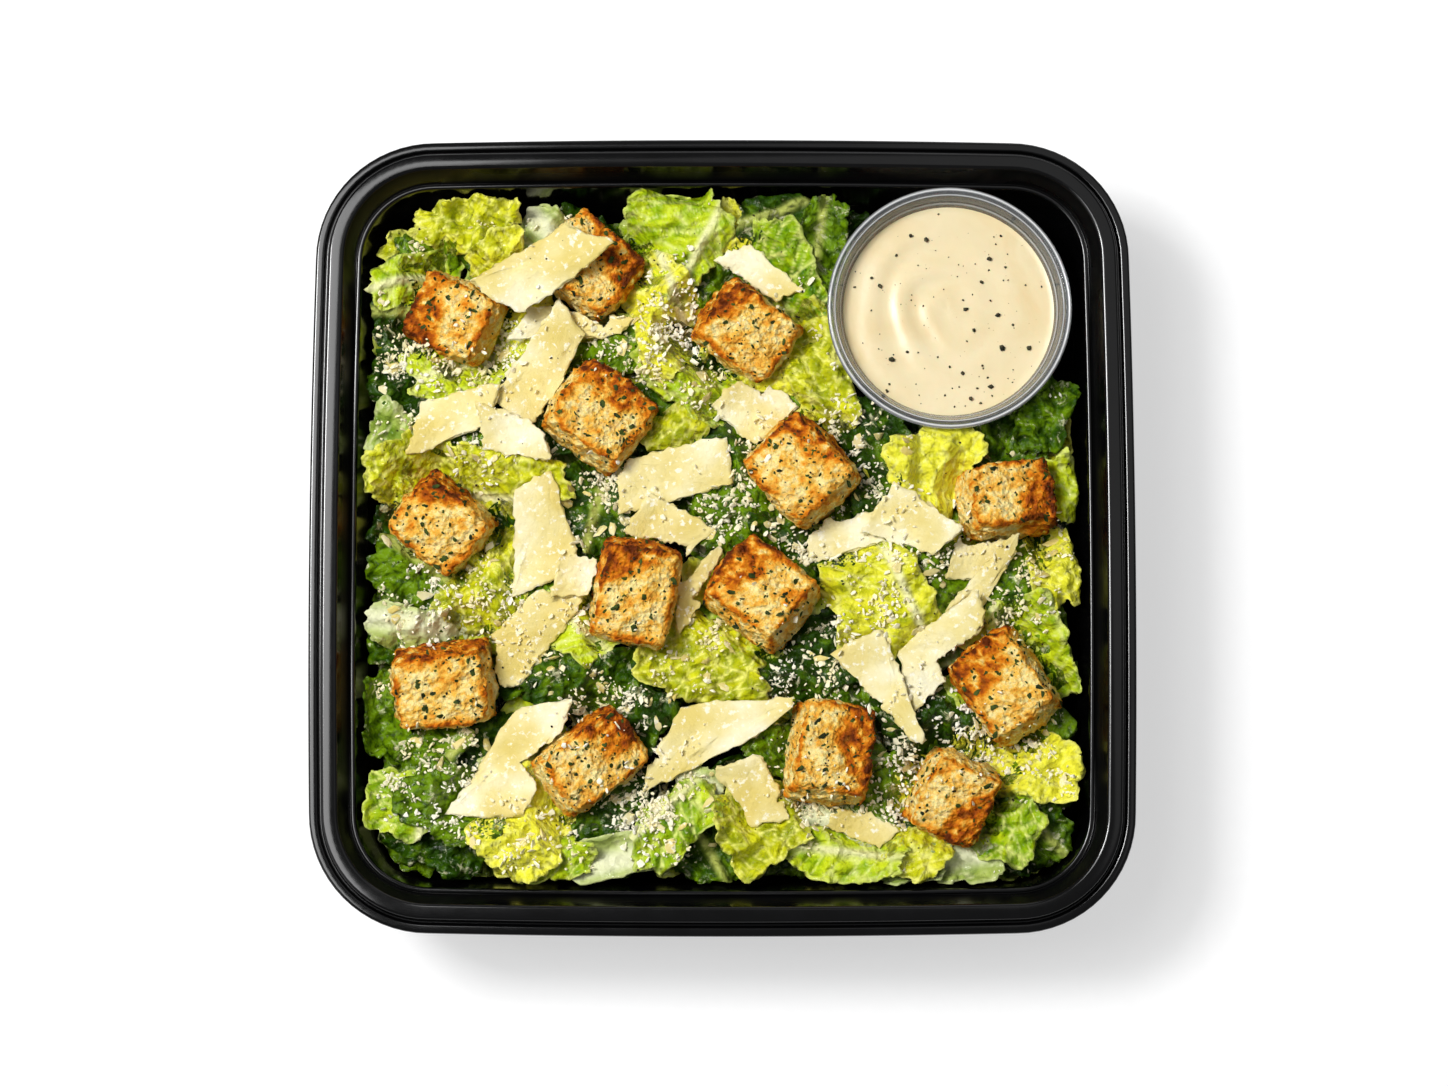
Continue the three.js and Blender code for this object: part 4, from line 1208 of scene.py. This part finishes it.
    def lay(self, leaf: CutLeaf, seed: int, pitch: float, rest: float = 80, off_wall: float = 0.4) -> None:
        """Lays a piece on the heap, draped over what is there and under what lies on it.

        Args:
            leaf: The piece.
            seed: Of its draws.
            pitch: Size of its faces.
            rest: The share of the piece, in percent, that would sink in if it were stiff.
            off_wall: Left between the piece and the tray's wall.
        """
        draw = np.random.default_rng(seed)
        flat = self.blade(leaf, draw, pitch)
        tilt, heading = math.radians(leaf.tilt), math.radians(leaf.heading)
        across = flat["x"] * math.cos(tilt) - flat["z"] * math.sin(tilt)
        z = flat["x"] * math.sin(tilt) + flat["z"] * math.cos(tilt)
        x = leaf.x + across * math.cos(heading) - flat["y"] * math.sin(heading)
        y = leaf.y + across * math.sin(heading) + flat["y"] * math.cos(heading)
        x, y = self.moved_in(x, y, off_wall - leaf.over)
        x, y = self.clear_of_pot(x, y, np.full_like(x, self.usual_height))
        floor = self.terrain.sample(self.terrain.resting_surface(), x, y)
        z = z + np.percentile(floor - z, rest)
        low = floor + 0.5 + draw.uniform(0.4, 1.6) * flat["reach"] ** 4
        softness = 0.4
        z = low + softness * np.log1p(np.exp(np.clip((z - low) / softness, -30, 30))) + flat["fine"]
        z = np.minimum(z, self.terrain.sample(self.terrain.ceiling, x, y))
        x, y = self.clear_of_pot(*self.clear_of_wall(x, y, z), z)
        flat.update(x=x, y=y, z=z)
        self.terrain.cover(np.stack([x.ravel(), y.ravel(), z.ravel()], 1))
        flat["age"] = np.full_like(x, draw.uniform(0.2, 1))
        self.batches[leaf.part].append(self.with_edge(flat))

    def moved_in(self, x: np.ndarray, y: np.ndarray, off_wall: float) -> tuple[np.ndarray, np.ndarray]:
        """Moves a whole piece in from the tray's wall and off the pot, so that it keeps its outline."""
        for _ in range(3):
            inset = np.full_like(x, self.wall_inset + off_wall)
            out, out_x, out_y = self.tray.over_wall(x, y, inset)
            worst = np.unravel_index(np.argmax(out), out.shape)
            push = max(out[worst], 0)
            x, y = x - push * out_x[worst], y - push * out_y[worst]
        away = Vector((float(np.mean(x)) - self.pot.x, float(np.mean(y)) - self.pot.y)).normalized()
        reach = np.hypot(x - self.pot.x, y - self.pot.y).min()
        push = max(self.pot.radius_at(self.usual_height) - 2 - reach, 0)
        return x + push * away.x, y + push * away.y

    def clear_of_wall(self, x: np.ndarray, y: np.ndarray, z: np.ndarray) -> tuple[np.ndarray, np.ndarray]:
        """Moves points in from the tray's wall."""
        out, out_x, out_y = self.tray.over_wall(x, y, self.tray.inset_at(z) + self.thickness + 0.5)
        push = np.maximum(out, 0)
        return x - push * out_x, y - push * out_y

    def clear_of_pot(self, x: np.ndarray, y: np.ndarray, z: np.ndarray) -> tuple[np.ndarray, np.ndarray]:
        """Moves points out from the pot's wall."""
        from_x, from_y = x - self.pot.x, y - self.pot.y
        reach = np.maximum(np.hypot(from_x, from_y), TINY)
        push = np.maximum(self.pot.radius_at(z) + self.thickness + 0.6 - reach, 0)
        return x + push * from_x / reach, y + push * from_y / reach

    def with_edge(self, flat: dict[str, np.ndarray]) -> Batch:
        """Gives a blade's upper face the cut edge below it."""
        top = np.stack([flat["x"], flat["y"], flat["z"]], -1)
        along, across = np.gradient(top, axis=0), np.gradient(top, axis=1)
        normal = np.cross(along, across)
        normal /= np.maximum(np.linalg.norm(normal, axis=-1, keepdims=True), 1e-9)
        under = top - normal * self.thickness
        rows, columns = flat["x"].shape
        index = np.arange(rows * columns).reshape(rows, columns)
        a, b, c, d = index[:-1, :-1], index[1:, :-1], index[1:, 1:], index[:-1, 1:]
        upper = np.stack([a, b, c, d], -1).reshape(-1, 4)
        rim = np.concatenate([index[:, 0], index[-1, 1:], index[-2::-1, -1], index[0, -2:0:-1]])
        here = np.arange(len(rim))
        low = rows * columns + here
        band = np.stack([rim[here], low, np.roll(low, -1), np.roll(rim, -1)], -1)
        points = np.concatenate([top.reshape(-1, 3), under.reshape(-1, 3)[rim]])
        numbers = {}
        for key in ("vein", "rib", "age"):
            values = flat[key].ravel()
            numbers[key] = np.concatenate([values, values[rim]])
        return Batch(points, np.concatenate([upper, band]), numbers)

    def fill_gaps(self) -> None:
        """Strews small pieces all over the bed, mostly outer leaf."""
        draw = np.random.default_rng(Seed.GAPS)
        step = 12.5
        for row, y in enumerate(np.arange(-86, 87, step)):
            for x in np.arange(-88 + (row % 2) * step / 2, 89, step):
                part = draw.choice([D, D, D, D, B, B, H, R])
                if x > self.pot.x - 30 and y > self.pot.y - 30:
                    continue
                spans = ((-3, 3), (-3, 3), (13, 20), (9, 14), (0, 180), (-30, 30), (0.9, 1.5))
                move_x, move_y, long, wide, heading, tilt, lumps = (draw.uniform(*ends) for ends in spans)
                leaf = CutLeaf(x + move_x, y + move_y, long, wide, heading, part, tilt, lumps)
                seed = int(draw.integers(1_000_000))
                self.lay(leaf, seed, pitch=1.05, rest=60, off_wall=draw.uniform(0.3, 2.5))

    def build_bed(self) -> bpy.types.Object:
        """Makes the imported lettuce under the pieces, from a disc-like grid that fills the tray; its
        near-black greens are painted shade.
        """
        count = 76
        line = np.linspace(-1, 1, count)
        u, v = np.meshgrid(line, line, indexing="ij")
        half_x, half_y = self.tray.width / 2 - self.bed_inset, self.tray.depth / 2 - self.bed_inset
        x = half_x * u * np.sqrt(1 - 0.16 * v**2)
        y = half_y * v * np.sqrt(1 - 0.16 * u**2)
        reach = np.maximum(np.abs(u), np.abs(v))
        z = self.bed_height(x, y) - self.sunk
        z = z - np.where(reach > 0.97, 18, 0) - np.where(reach > 0.99, 6, 0)
        x, y = self.clear_of_wall(x, y, z)
        x, y = self.clear_of_pot(x, y, np.maximum(z, 30))
        near_pot = np.hypot(x - self.pot.x, y - self.pot.y) < self.pot.rim_radius - 4
        z = np.where(near_pot, self.pot.floor - 1.0, z)
        zeros = np.zeros_like(x)
        flat = {"x": x, "y": y, "z": z, "vein": zeros, "rib": zeros, "age": zeros}
        self.terrain.top = self.bed_height(*self.terrain.places()) - self.sunk
        bed = joined_mesh("romaine_bed", [self.with_edge(flat)])
        # Near-black greens: the bed stands in for the shade deep in the gaps between the pieces.
        tones = ("#060c01", "#0b1402", "#121f03", "#182806")
        finish = RomaineLeaf("Romaine under the top pieces, in painted shade", *tones)
        finish_piece(bed, finish, ["romaine_heap"])
        return bed

    def dress(self, shavings: BVHTree, croutons: BVHTree) -> list[bpy.types.Object]:
        """Builds the bed and all leaves.

        Args:
            shavings: What lies on the leaves, which they stay under.
            croutons: What stands in the leaves.

        Returns:
            The pieces, one for each part of the head, with the bed.
        """
        self.terrain.lower_ceiling(shavings, croutons, self.pot)
        pieces = [self.build_bed()]
        self.fill_gaps()
        for number, leaf in enumerate(LEAVES):
            self.lay(leaf, Seed.LEAVES + number, self.pitch)
        looks = {
            # The outer leaf keeps the default colours, whose darker vein green paints shade into its
            # creases.
            D: ("outer leaf",),
            B: ("inner leaf", "#3f6e03", "#8cae06", "#c8d81e", "#dae27c", "#e6e6a4", 0.1),
            H: ("heart leaf", "#96a00a", "#cfd018", "#eae63a", "#f0ee7c", "#f3f0b2", 0.12),
            R: ("rib", "#56760f", "#8aa23a", "#acbc5e", "#ccd294", "#e2e3ba", 0.08, 0.7),
        }
        for part, (kind, *look) in looks.items():
            finish = RomaineLeaf(f"Romaine, {kind}, cut", *look)
            pieces.append(joined_mesh("romaine_" + part.value, self.batches[part]))
            finish_piece(pieces[-1], finish, ["romaine_heap"])
        return pieces


# The croutons and the cheese.


@dataclass(frozen=True)
class Crouton:
    """One crouton's place, as its solid has it.

    Attributes:
        x: Its middle along X.
        y: Its middle along Y.
        size: Its three sizes.
        heading: The direction of its first size, in degrees.
        lean: The tilt about its first and its second direction, in degrees.
        crust: The heading of its brownest side, in degrees.
    """

    x: float
    y: float
    size: tuple[float, float, float]
    heading: float
    lean: tuple[float, float]
    crust: float


CROUTONS = [
    Crouton(*row)
    for row in (
        (-68, 56, (22, 20, 17), -25, (10, -8), 175), (-34, 69, (24, 21, 16), -38, (-8, 6), 20),
        (6, 52, (24, 20, 17), -36, (6, 10), 120), (-31, 30, (24, 22, 18), -36, (-8, 6), 60),
        (-71, 3, (23, 20, 17), -40, (12, 4), 90), (20, 16, (25, 22, 18), -48, (8, -6), 65),
        (72, 9, (24, 18, 17), 8, (-8, 10), -10), (-22, -15, (21, 27, 17), -10, (8, 6), 100),
        (10, -15, (25, 22, 18), -38, (-6, -10), 125), (-70, -38, (26, 21, 18), 6, (14, -4), 100),
        (-33, -57, (27, 19, 17), 38, (10, 8), 70), (27, -55, (21, 26, 17), -8, (-6, 10), 10),
        (71, -38, (27, 21, 17), -57, (10, -6), 150), (58, -66, (20, 22, 17), -24, (12, 8), -50),
    )
]


@dataclass
class CroutonScatter:
    """The toasted bread cubes, made from the solids with their crumb, pores with painted shade in them, and
    browning.

    Attributes:
        pore_mm: From one pore to the next.
    """

    pore_mm: float = 2.4

    def local(self, points: np.ndarray, crouton: Crouton, middle: Vector) -> np.ndarray:
        """Gives points in a crouton's own directions, as shares of its half sizes."""
        turn = Euler((math.radians(crouton.lean[0]), math.radians(crouton.lean[1]), 0)).to_matrix()
        spin = Euler((0, 0, math.radians(crouton.heading))).to_matrix()
        axes = np.array(spin @ turn)
        return (points - np.array(middle)) @ axes / (np.array(crouton.size) / 2)

    def build(self) -> bpy.types.Object:
        """Refines the solids and roughens them as broken crumb."""
        cubes = copy_of_nodes("croutons", CROUTON_NODES)
        with edit_mode(cubes):
            bpy.ops.mesh.subdivide(number_cuts=3)
        apply_modifier(cubes, "SUBSURF", levels=1, render_levels=1)
        points = read_points(cubes.data)
        normals = np.array([vertex.normal for vertex in cubes.data.vertices])
        toast, pore, relief = np.zeros((3, len(points)))
        for crouton, node in zip(CROUTONS, CROUTON_NODES):
            low, high = np.array(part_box(node)) / MM
            inside = np.all((points > low - 1.5) & (points < high + 1.5), axis=1)
            part = self.local(points, crouton, Vector((low + high) / 2))
            inside &= np.all(np.abs(part) < 1.25, axis=1)
            edge = np.sort(np.abs(part), axis=1)[:, 1]
            outward = points - (low + high) / 2
            outward /= np.maximum(np.linalg.norm(outward, axis=1, keepdims=True), TINY)
            crust = math.radians(crouton.crust)
            facing = outward @ np.array([math.cos(crust), math.sin(crust), 0.25])
            browned = 0.46 * ramp(edge, 0.7, 0.22) + 0.4 * ramp(facing, 0.46, 0.24)
            toast[inside] = browned[inside]
        for i, point in enumerate(points):
            place = Vector(point)
            hollow = max(0.0, 0.42 - noise.voronoi(place / self.pore_mm)[0][0]) / 0.42
            coarse = noise.fractal(place / 3.6, 0.8, 2.0, 4)
            # The pore share marks the hollows that the relief digs, where the crumb's colour paints shade.
            pore[i] = hollow**1.5
            knobs = noise.fractal(place / 1.5 + Vector((5, 1, 9)), 0.8, 2.0, 2)
            relief[i] = 0.9 * coarse + 0.46 * knobs - 1.1 * hollow**1.5
            toast[i] *= 0.75 + 0.9 * noise.fractal(place / 2.2 + Vector((3, 8, 2)), 0.8, 2.0, 3)
            toast[i] += 0.2 * noise.noise(place / 4.5) + 0.14 * knobs
        points += normals * relief[:, None]
        write_points(cubes.data, points)
        set_attribute(cubes.data, "toast", np.clip(toast, 0, 1))
        set_attribute(cubes.data, "pore", np.clip(pore * 0.75, 0, 1))
        cubes.data.shade_smooth()
        return cubes

    def dress(self) -> bpy.types.Object:
        """Builds the croutons and gives them their finish."""
        cubes = self.build()
        finish_piece(cubes, ToastedBread("Bread, cubed and toasted"), CROUTON_NODES)
        return cubes


@dataclass
class ShavedParmesan:
    """The parmesan shavings, made from the solids with torn edges and a grainy face."""

    def build(self) -> bpy.types.Object:
        """Refines the solids, tears their edges a little and adds the grain."""
        flakes = copy_of_nodes("parmesan_shavings", SHAVING_NODES)
        with edit_mode(flakes):
            bpy.ops.mesh.subdivide(number_cuts=6)
            bpy.ops.mesh.quads_convert_to_tris()
        points = read_points(flakes.data)
        normals = np.array([vertex.normal for vertex in flakes.data.vertices])
        for i, point in enumerate(points):
            place = Vector(point)
            tear = 0.7 * noise.noise(place / 0.8) + 0.9 * noise.noise(place / 1.9)
            tear += 0.8 * noise.noise(place / 4.5)
            grain_z = 0.16 * noise.noise(place / 1.1 + Vector((7, 3, 1))) + 0.4 * noise.noise(place / 6.5)
            sideways = np.array([normals[i][0], normals[i][1], 0])
            points[i] = point + sideways * tear + np.array([0, 0, grain_z])
        write_points(flakes.data, points)
        shade_smooth(flakes, 40)
        return flakes

    def dress(self) -> bpy.types.Object:
        """Builds the shavings and gives them their finish."""
        flakes = self.build()
        finish_piece(flakes, HardCheese("Parmesan, shaved"), SHAVING_NODES)
        return flakes


# What is strewn over the salad.


def tree_of(things: list[bpy.types.Object]) -> BVHTree:
    """Makes one search tree of some objects' faces, in metres."""
    points, faces = [], []
    for thing in things:
        start = len(points)
        points += [vertex.co[:] for vertex in thing.data.vertices]
        faces += [[start + i for i in polygon.vertices] for polygon in thing.data.polygons]
    return BVHTree.FromPolygons(points, faces)


GOLDEN = (1 + 5**0.5) / 2
CRUMB_CORNERS = np.array(
    [row for a in (-1, 1) for b in (-GOLDEN, GOLDEN) for row in ((0, a, b), (a, b, 0), (b, 0, a))]
)


@dataclass
class Strewing:
    """Grated parmesan, dried herbs and cracked pepper, strewn over what shows.

    Attributes:
        tray: The tray, whose inside is strewn.
        pot: The pot, which is kept free.
        drifts: Places where the grated cheese lies thickest, as (x, y, spread).
        corns: Places of the coarse bits of pepper in the dressing, as (x, y).
        wall_inset: From the tray's edge to where the strewing ends.
        half_field: Half of the square that is strewn at random.
        clumps: Number of clumps of grated cheese.
        bits: Number of bits broken off the shavings.
        herbs: Number of herb flakes for each crouton.
        peppers: Number of bits of pepper on the salad.
        fine_peppers: Number of fine bits of pepper in the dressing.
    """

    tray: TakeawayTray
    pot: DressingPot
    drifts: tuple[tuple[float, float, float], ...] = (
        (-66, 42, 7), (-55, 46, 7), (-14, 50, 7), (-8, 42, 9), (-30, 47, 6), (4, 4, 9), (17, -4, 8),
        (8, 20, 6), (-62, -14, 9), (-76, -20, 8), (-36, -36, 10), (-50, -30, 5), (-28, -44, 6),
        (40, -16, 8), (50, -4, 6), (25, -32, 9), (-14, -54, 8), (-22, -64, 7), (44, -58, 7),
        (52, -66, 7), (62, -48, 6), (-2, -31, 9), (-34, 8, 8), (44, -42, 7), (36, 28, 6), (40, 14, 7),
        (75, -12, 7), (26, -66, 6), (-70, -56, 9), (-50, -76, 8), (-26, 12, 6), (-15, -74, 7),
        (-82, 44, 6), (-60, 20, 6), (80, -56, 9),
    )
    corns: tuple[tuple[float, float], ...] = (
        (52, 76), (62, 58), (66, 43.5), (71, 48), (47, 47), (68, 71), (78, 48), (63, 35), (68, 38),
        (66, 65), (48, 77), (71, 77), (43, 45), (40, 64), (38, 66), (61, 41.5), (64, 52.5), (70, 56.5),
    )
    wall_inset: float = 15
    half_field: float = 90
    clumps: int = 840
    bits: int = 230
    herbs: int = 135
    peppers: int = 300
    fine_peppers: int = 90

    def chip(self, draw: np.random.Generator, size: np.ndarray) -> np.ndarray:
        """Gives the twelve points of an uneven crumb, as rows about its middle."""
        return CRUMB_CORNERS / 1.9 * draw.uniform(0.6, 1.4, (12, 1)) * size / 2

    def chip_faces(self) -> np.ndarray:
        """Finds a crumb's twenty faces: the triples of corners that lie next to each other."""
        near = np.linalg.norm(CRUMB_CORNERS[:, None] - CRUMB_CORNERS, axis=-1) < 2.1
        faces = []
        for i, j, k in combinations(range(len(CRUMB_CORNERS)), 3):
            if near[i, j] and near[j, k] and near[i, k]:
                a, b, c = CRUMB_CORNERS[[i, j, k]]
                faces.append((i, j, k) if np.cross(b - a, c - a) @ a > 0 else (k, j, i))
        return np.array(faces)

    def strew(
        self,
        name: str,
        finish: Finish,
        nodes: list[str],
        surface: BVHTree,
        places: np.ndarray,
        sizes: np.ndarray,
        seed: int,
        flat: float = 0.0,
        piled: float = 0.0,
    ) -> bpy.types.Object:
        """Drops crumbs onto a surface from above and makes one piece of them.

        Args:
            name: The piece's name.
            finish: Its material.
            nodes: The nodes that it helps to stand for.
            surface: What the crumbs land on, in metres.
            places: Rows of x and y.
            sizes: Rows of a crumb's three sizes.
            seed: Of the draws.
            flat: From 0, any way up, to 1, flat on what they lie on.
            piled: How high they lie on each other.

        Returns:
            The piece.
        """
        draw = np.random.default_rng(seed)
        faces = self.chip_faces()
        batches = []
        for (x, y), size in zip(places, sizes):
            hit, normal, _, _ = surface.ray_cast(Vector((x * MM, y * MM, ABOVE_ALL)), DOWN)
            if hit is None or normal.z < 0.15:
                continue
            points = self.chip(draw, size)
            free = Euler(draw.uniform(-3.14, 3.14, 3) * (1 - flat)).to_matrix()
            lying = Euler((0, 0, draw.uniform(0, FULL_TURN))).to_matrix()
            points = points @ np.array(normal.to_track_quat("Z", "Y").to_matrix() @ lying @ free).T
            lift = 0.3 * size.min() + piled * draw.random()
            batches.append(Batch(points + np.array(hit) / MM + np.array(normal) * lift, faces))
        piece = joined_mesh(name, batches, smooth=False)
        finish_piece(piece, finish, nodes)
        return piece

    def grated_places(self, draw: np.random.Generator) -> np.ndarray:
        """Draws places for the grated cheese: clumps, mostly in drifts, and some strays."""
        clumps, ends = self.clumps, (-self.half_field, self.half_field)
        drift = np.array(self.drifts)[draw.integers(len(self.drifts), size=clumps)]
        middle = drift[:, :2] + draw.normal(size=(clumps, 2)) * drift[:, 2:] * 0.75
        stray = draw.random(clumps) < 0.25
        middle[stray] = draw.uniform(*ends, (int(stray.sum()), 2))
        counts = np.clip(draw.lognormal(2.0, 0.8, clumps), 1, 40).astype(int)
        spread = np.repeat(0.5 + 0.27 * np.sqrt(counts), counts)
        return np.repeat(middle, counts, axis=0) + draw.normal(size=(counts.sum(), 2)) * spread[:, None]

    def kept(self, places: np.ndarray) -> np.ndarray:
        """Tells which places are inside the tray's wall and clear of the pot."""
        out, _, _ = self.tray.over_wall(places[:, 0], places[:, 1], np.full(len(places), self.wall_inset))
        reach = np.hypot(places[:, 0] - self.pot.x, places[:, 1] - self.pot.y)
        return (out < 0) & (reach > self.pot.rim_radius + 0.8)

    def dress(
        self,
        leaves: list[bpy.types.Object],
        croutons: bpy.types.Object,
        shavings: bpy.types.Object,
        dressing: bpy.types.Object,
    ) -> None:
        """Strews cheese, herbs and pepper.

        Args:
            leaves: The lettuce pieces.
            croutons: The joined croutons.
            shavings: The joined shavings.
            dressing: The dressing in the pot.
        """
        draw = np.random.default_rng(Seed.STREWING)
        salad = tree_of([*leaves, croutons, shavings])
        places = self.grated_places(draw)
        places = places[self.kept(places)]
        croutons_tree, shavings_tree = tree_of([croutons]), tree_of([shavings])
        off_bread = self.missing(croutons_tree, places) | (draw.random(len(places)) < 0.12)
        off_flakes = self.missing(shavings_tree, places) | (draw.random(len(places)) < 0.2)
        places = places[off_bread & off_flakes]
        length = np.clip(draw.lognormal(0.05, 0.5, len(places)), 0.45, 3.2)
        width = np.clip(length * draw.uniform(0.45, 0.95, len(places)), 0.4, 1.8)
        sizes = np.stack([length, width, np.minimum(width, 0.8) * 0.7], 1)
        cheese = HardCheese("Parmesan, grated", "#f8edbc", "#fcf5d4", "#fffbea", 0.0, 0.35)
        slot, heap = "parmesan", ["romaine_heap"]
        self.strew("grated_parmesan", cheese, heap, salad, places, sizes, Seed.GRATED, 0.3, 0.7)
        self.break_up(shavings_tree, croutons_tree, salad, draw)
        self.season(croutons_tree, salad, shavings_tree, tree_of([dressing]), draw)

    def missing(self, tree: BVHTree, places: np.ndarray) -> np.ndarray:
        """Tells for each place whether nothing of a tree lies under it."""
        starts = [Vector((x * MM, y * MM, ABOVE_ALL)) for x, y in places]
        return np.array([tree.ray_cast(start, DOWN)[0] is None for start in starts])

    def break_up(
        self, shavings: BVHTree, croutons: BVHTree, salad: BVHTree, draw: np.random.Generator
    ) -> None:
        """Adds the flat bits that broke off the shavings and lie about near them.

        Args:
            shavings: The shavings, which the bits keep clear of.
            croutons: The croutons, which they keep clear of too.
            salad: All that they land on.
            draw: The draws for their places and sizes.
        """
        middle = np.array(self.drifts)[draw.integers(len(self.drifts), size=self.bits)]
        places = middle[:, :2] + draw.normal(size=(self.bits, 2)) * middle[:, 2:]
        places = places[self.kept(places) & self.missing(shavings, places) & self.missing(croutons, places)]
        length = draw.uniform(1.8, 5.0, len(places))
        width = length * draw.uniform(0.35, 0.8, len(places))
        sizes = np.stack([length, width, np.full(len(places), 0.7)], 1)
        cheese, heap = HardCheese("Parmesan, shaved"), ["romaine_heap"]
        self.strew("parmesan_bits", cheese, heap, salad, places, sizes, Seed.BITS, 0.9)

    def season(
        self,
        croutons: BVHTree,
        salad: BVHTree,
        shavings: BVHTree,
        dressing: BVHTree,
        draw: np.random.Generator,
    ) -> None:
        """Adds herbs and pepper to the croutons, pepper to the rest, and pepper to the dressing.

        Args:
            croutons: The croutons.
            salad: The croutons, the shavings and the leaves.
            shavings: The shavings, which take little pepper.
            dressing: The dressing in the pot.
            draw: The draws for the places and sizes.
        """
        on_bread = [(c.x, c.y) + draw.uniform(-15, 15, (self.herbs, 2)) for c in CROUTONS]
        on_bread = np.concatenate(on_bread)
        length = np.clip(draw.lognormal(0.02, 0.48, len(on_bread)), 0.45, 2.5)
        width = length * draw.uniform(0.35, 0.75, len(on_bread))
        sizes = np.stack([length, width, np.full(len(length), 0.3)], 1)
        herbs, bread = DriedSeasoning("Herbs, dried and rubbed"), "toasted_bread"
        self.strew("dried_herbs", herbs, CROUTON_NODES, croutons, on_bread, sizes, Seed.HERBS, 0.93)
        spots = draw.uniform(-self.half_field, self.half_field, (self.peppers, 2))
        spots = np.concatenate([spots[self.kept(spots)], on_bread[::4] + 0.7])
        spots = spots[self.missing(shavings, spots) | (draw.random(len(spots)) < 0.2)]
        sizes = np.clip(draw.lognormal(-0.75, 0.4, (len(spots), 1)), 0.25, 0.9)
        sizes = sizes * draw.uniform(0.6, 1, (len(spots), 3))
        pepper = DriedSeasoning("Black pepper, cracked", "#0f0b08", "#3a2a1c")
        self.strew("cracked_pepper", pepper, CROUTON_NODES, salad, spots, sizes, Seed.PEPPER)
        turn = draw.uniform(0, 6.28, self.fine_peppers)
        reach = (self.pot.rim_radius - 5) * np.sqrt(draw.random(self.fine_peppers))
        spots = np.stack([self.pot.x + reach * np.cos(turn), self.pot.y + reach * np.sin(turn)], 1)
        spots = np.concatenate([np.array(self.corns), spots])
        sizes = np.clip(draw.lognormal(-0.8, 0.4, (len(spots), 1)), 0.25, 0.8)
        sizes[: len(self.corns)] = draw.uniform(1.0, 1.6, (len(self.corns), 1))
        sizes = sizes * draw.uniform(0.6, 1, (len(spots), 3))
        stirred = DriedSeasoning("Black pepper, stirred in", "#1c1c12", "#5c5840")
        slot, nodes = "caesar_dressing", ["dressing"]
        self.strew("pepper_in_dressing", stirred, nodes, dressing, spots, sizes, Seed.STIRRED)


# The studio.


@dataclass
class Studio:
    """A pale table, soft light from the upper left and the camera almost straight above.

    Attributes:
        camera_tilt: From straight down, towards the near side, in degrees.
        camera_distance: From the rim.
        target: The rim-height point in the middle of the picture.
        lens: Focal length for a 36 mm sensor.
    """

    camera_tilt: float = 7
    camera_distance: float = 1000
    target: tuple[float, float, float] = (0.4, -2.5, 48)
    lens: float = 98.9

    def build_table(self) -> None:
        """Adds the pale table top, which isn't part of the object."""
        deselect_all()
        bpy.ops.mesh.primitive_plane_add(size=6, location=(0, 0, -0.0002))
        table = bpy.context.object
        table.name = "table_top"
        with edit_mode(table):
            bpy.ops.mesh.subdivide(number_cuts=5)
        table.data.materials.append(PaintedBoard("White board, painted matt").material())

    def add_softbox(self, name: str, place: tuple[float, float, float], size: float, power: float) -> None:
        """Adds a square softbox that faces the salad."""
        light = bpy.data.lights.new(name, "AREA")
        light.shape, light.size, light.energy = "SQUARE", size, power
        box = add_object(name, light)
        box.location = place
        box.rotation_euler = (Vector((0, 0, 0.03)) - Vector(place)).to_track_quat("-Z", "Y").to_euler()

    def build_light(self) -> None:
        """Adds the key light, the fill and the room's own light."""
        for name, place, size, power in (
            ("key_softbox", (-0.46, 0.16, 1.15), 0.6, 7),
            ("hard_key", (-0.56, 0.22, 1.15), 0.26, 9.2),
            ("side_fill", (-1.1, -0.3, 0.9), 0.9, 2),
            ("far_fill", (0.3, 1.3, 0.8), 0.9, 1.8),
            ("high_fill", (0.32, 0.3, 1.2), 0.6, 0.45),
        ):
            self.add_softbox(name, place, size, power)
        world = bpy.data.worlds.new("studio_room")
        world.use_nodes = True
        room = {"Color": linear("#f4f6f8"), "Strength": 0.17}
        fill_inputs(world.node_tree, world.node_tree.nodes["Background"], room)
        bpy.context.scene.world = world
        bpy.context.scene.view_settings.view_transform = "Standard"

    def build_camera(self) -> None:
        """Places the camera at the photograph's angle."""
        camera = bpy.data.cameras.new("camera")
        camera.lens, camera.sensor_width = self.lens, 36
        eye = add_object("camera", camera)
        tilt = math.radians(self.camera_tilt)
        target = Vector(self.target) * MM
        eye.location = target + Vector((0, -math.sin(tilt), math.cos(tilt))) * self.camera_distance * MM
        eye.rotation_euler = (tilt, 0, 0)
        bpy.context.scene.camera = eye

    def build(self) -> None:
        """Builds table, lights and camera."""
        self.build_camera()
        self.build_table()
        self.build_light()


def main() -> None:
    """Builds the salad, piece by piece, and the studio round it."""
    logging.basicConfig(level=logging.INFO, format="%(message)s")
    Studio().build()
    tray = TakeawayTray()
    tray.dress()
    pot = DressingPot()
    dressing = pot.dress()
    shavings = ShavedParmesan().dress()
    croutons = CroutonScatter().dress()
    heap = RomaineHeap(tray, pot)
    leaves = heap.dress(tree_of([shavings]), tree_of([croutons]))
    Strewing(tray, pot).dress(leaves, croutons, shavings, dressing)


if __name__ == "__main__":
    main()
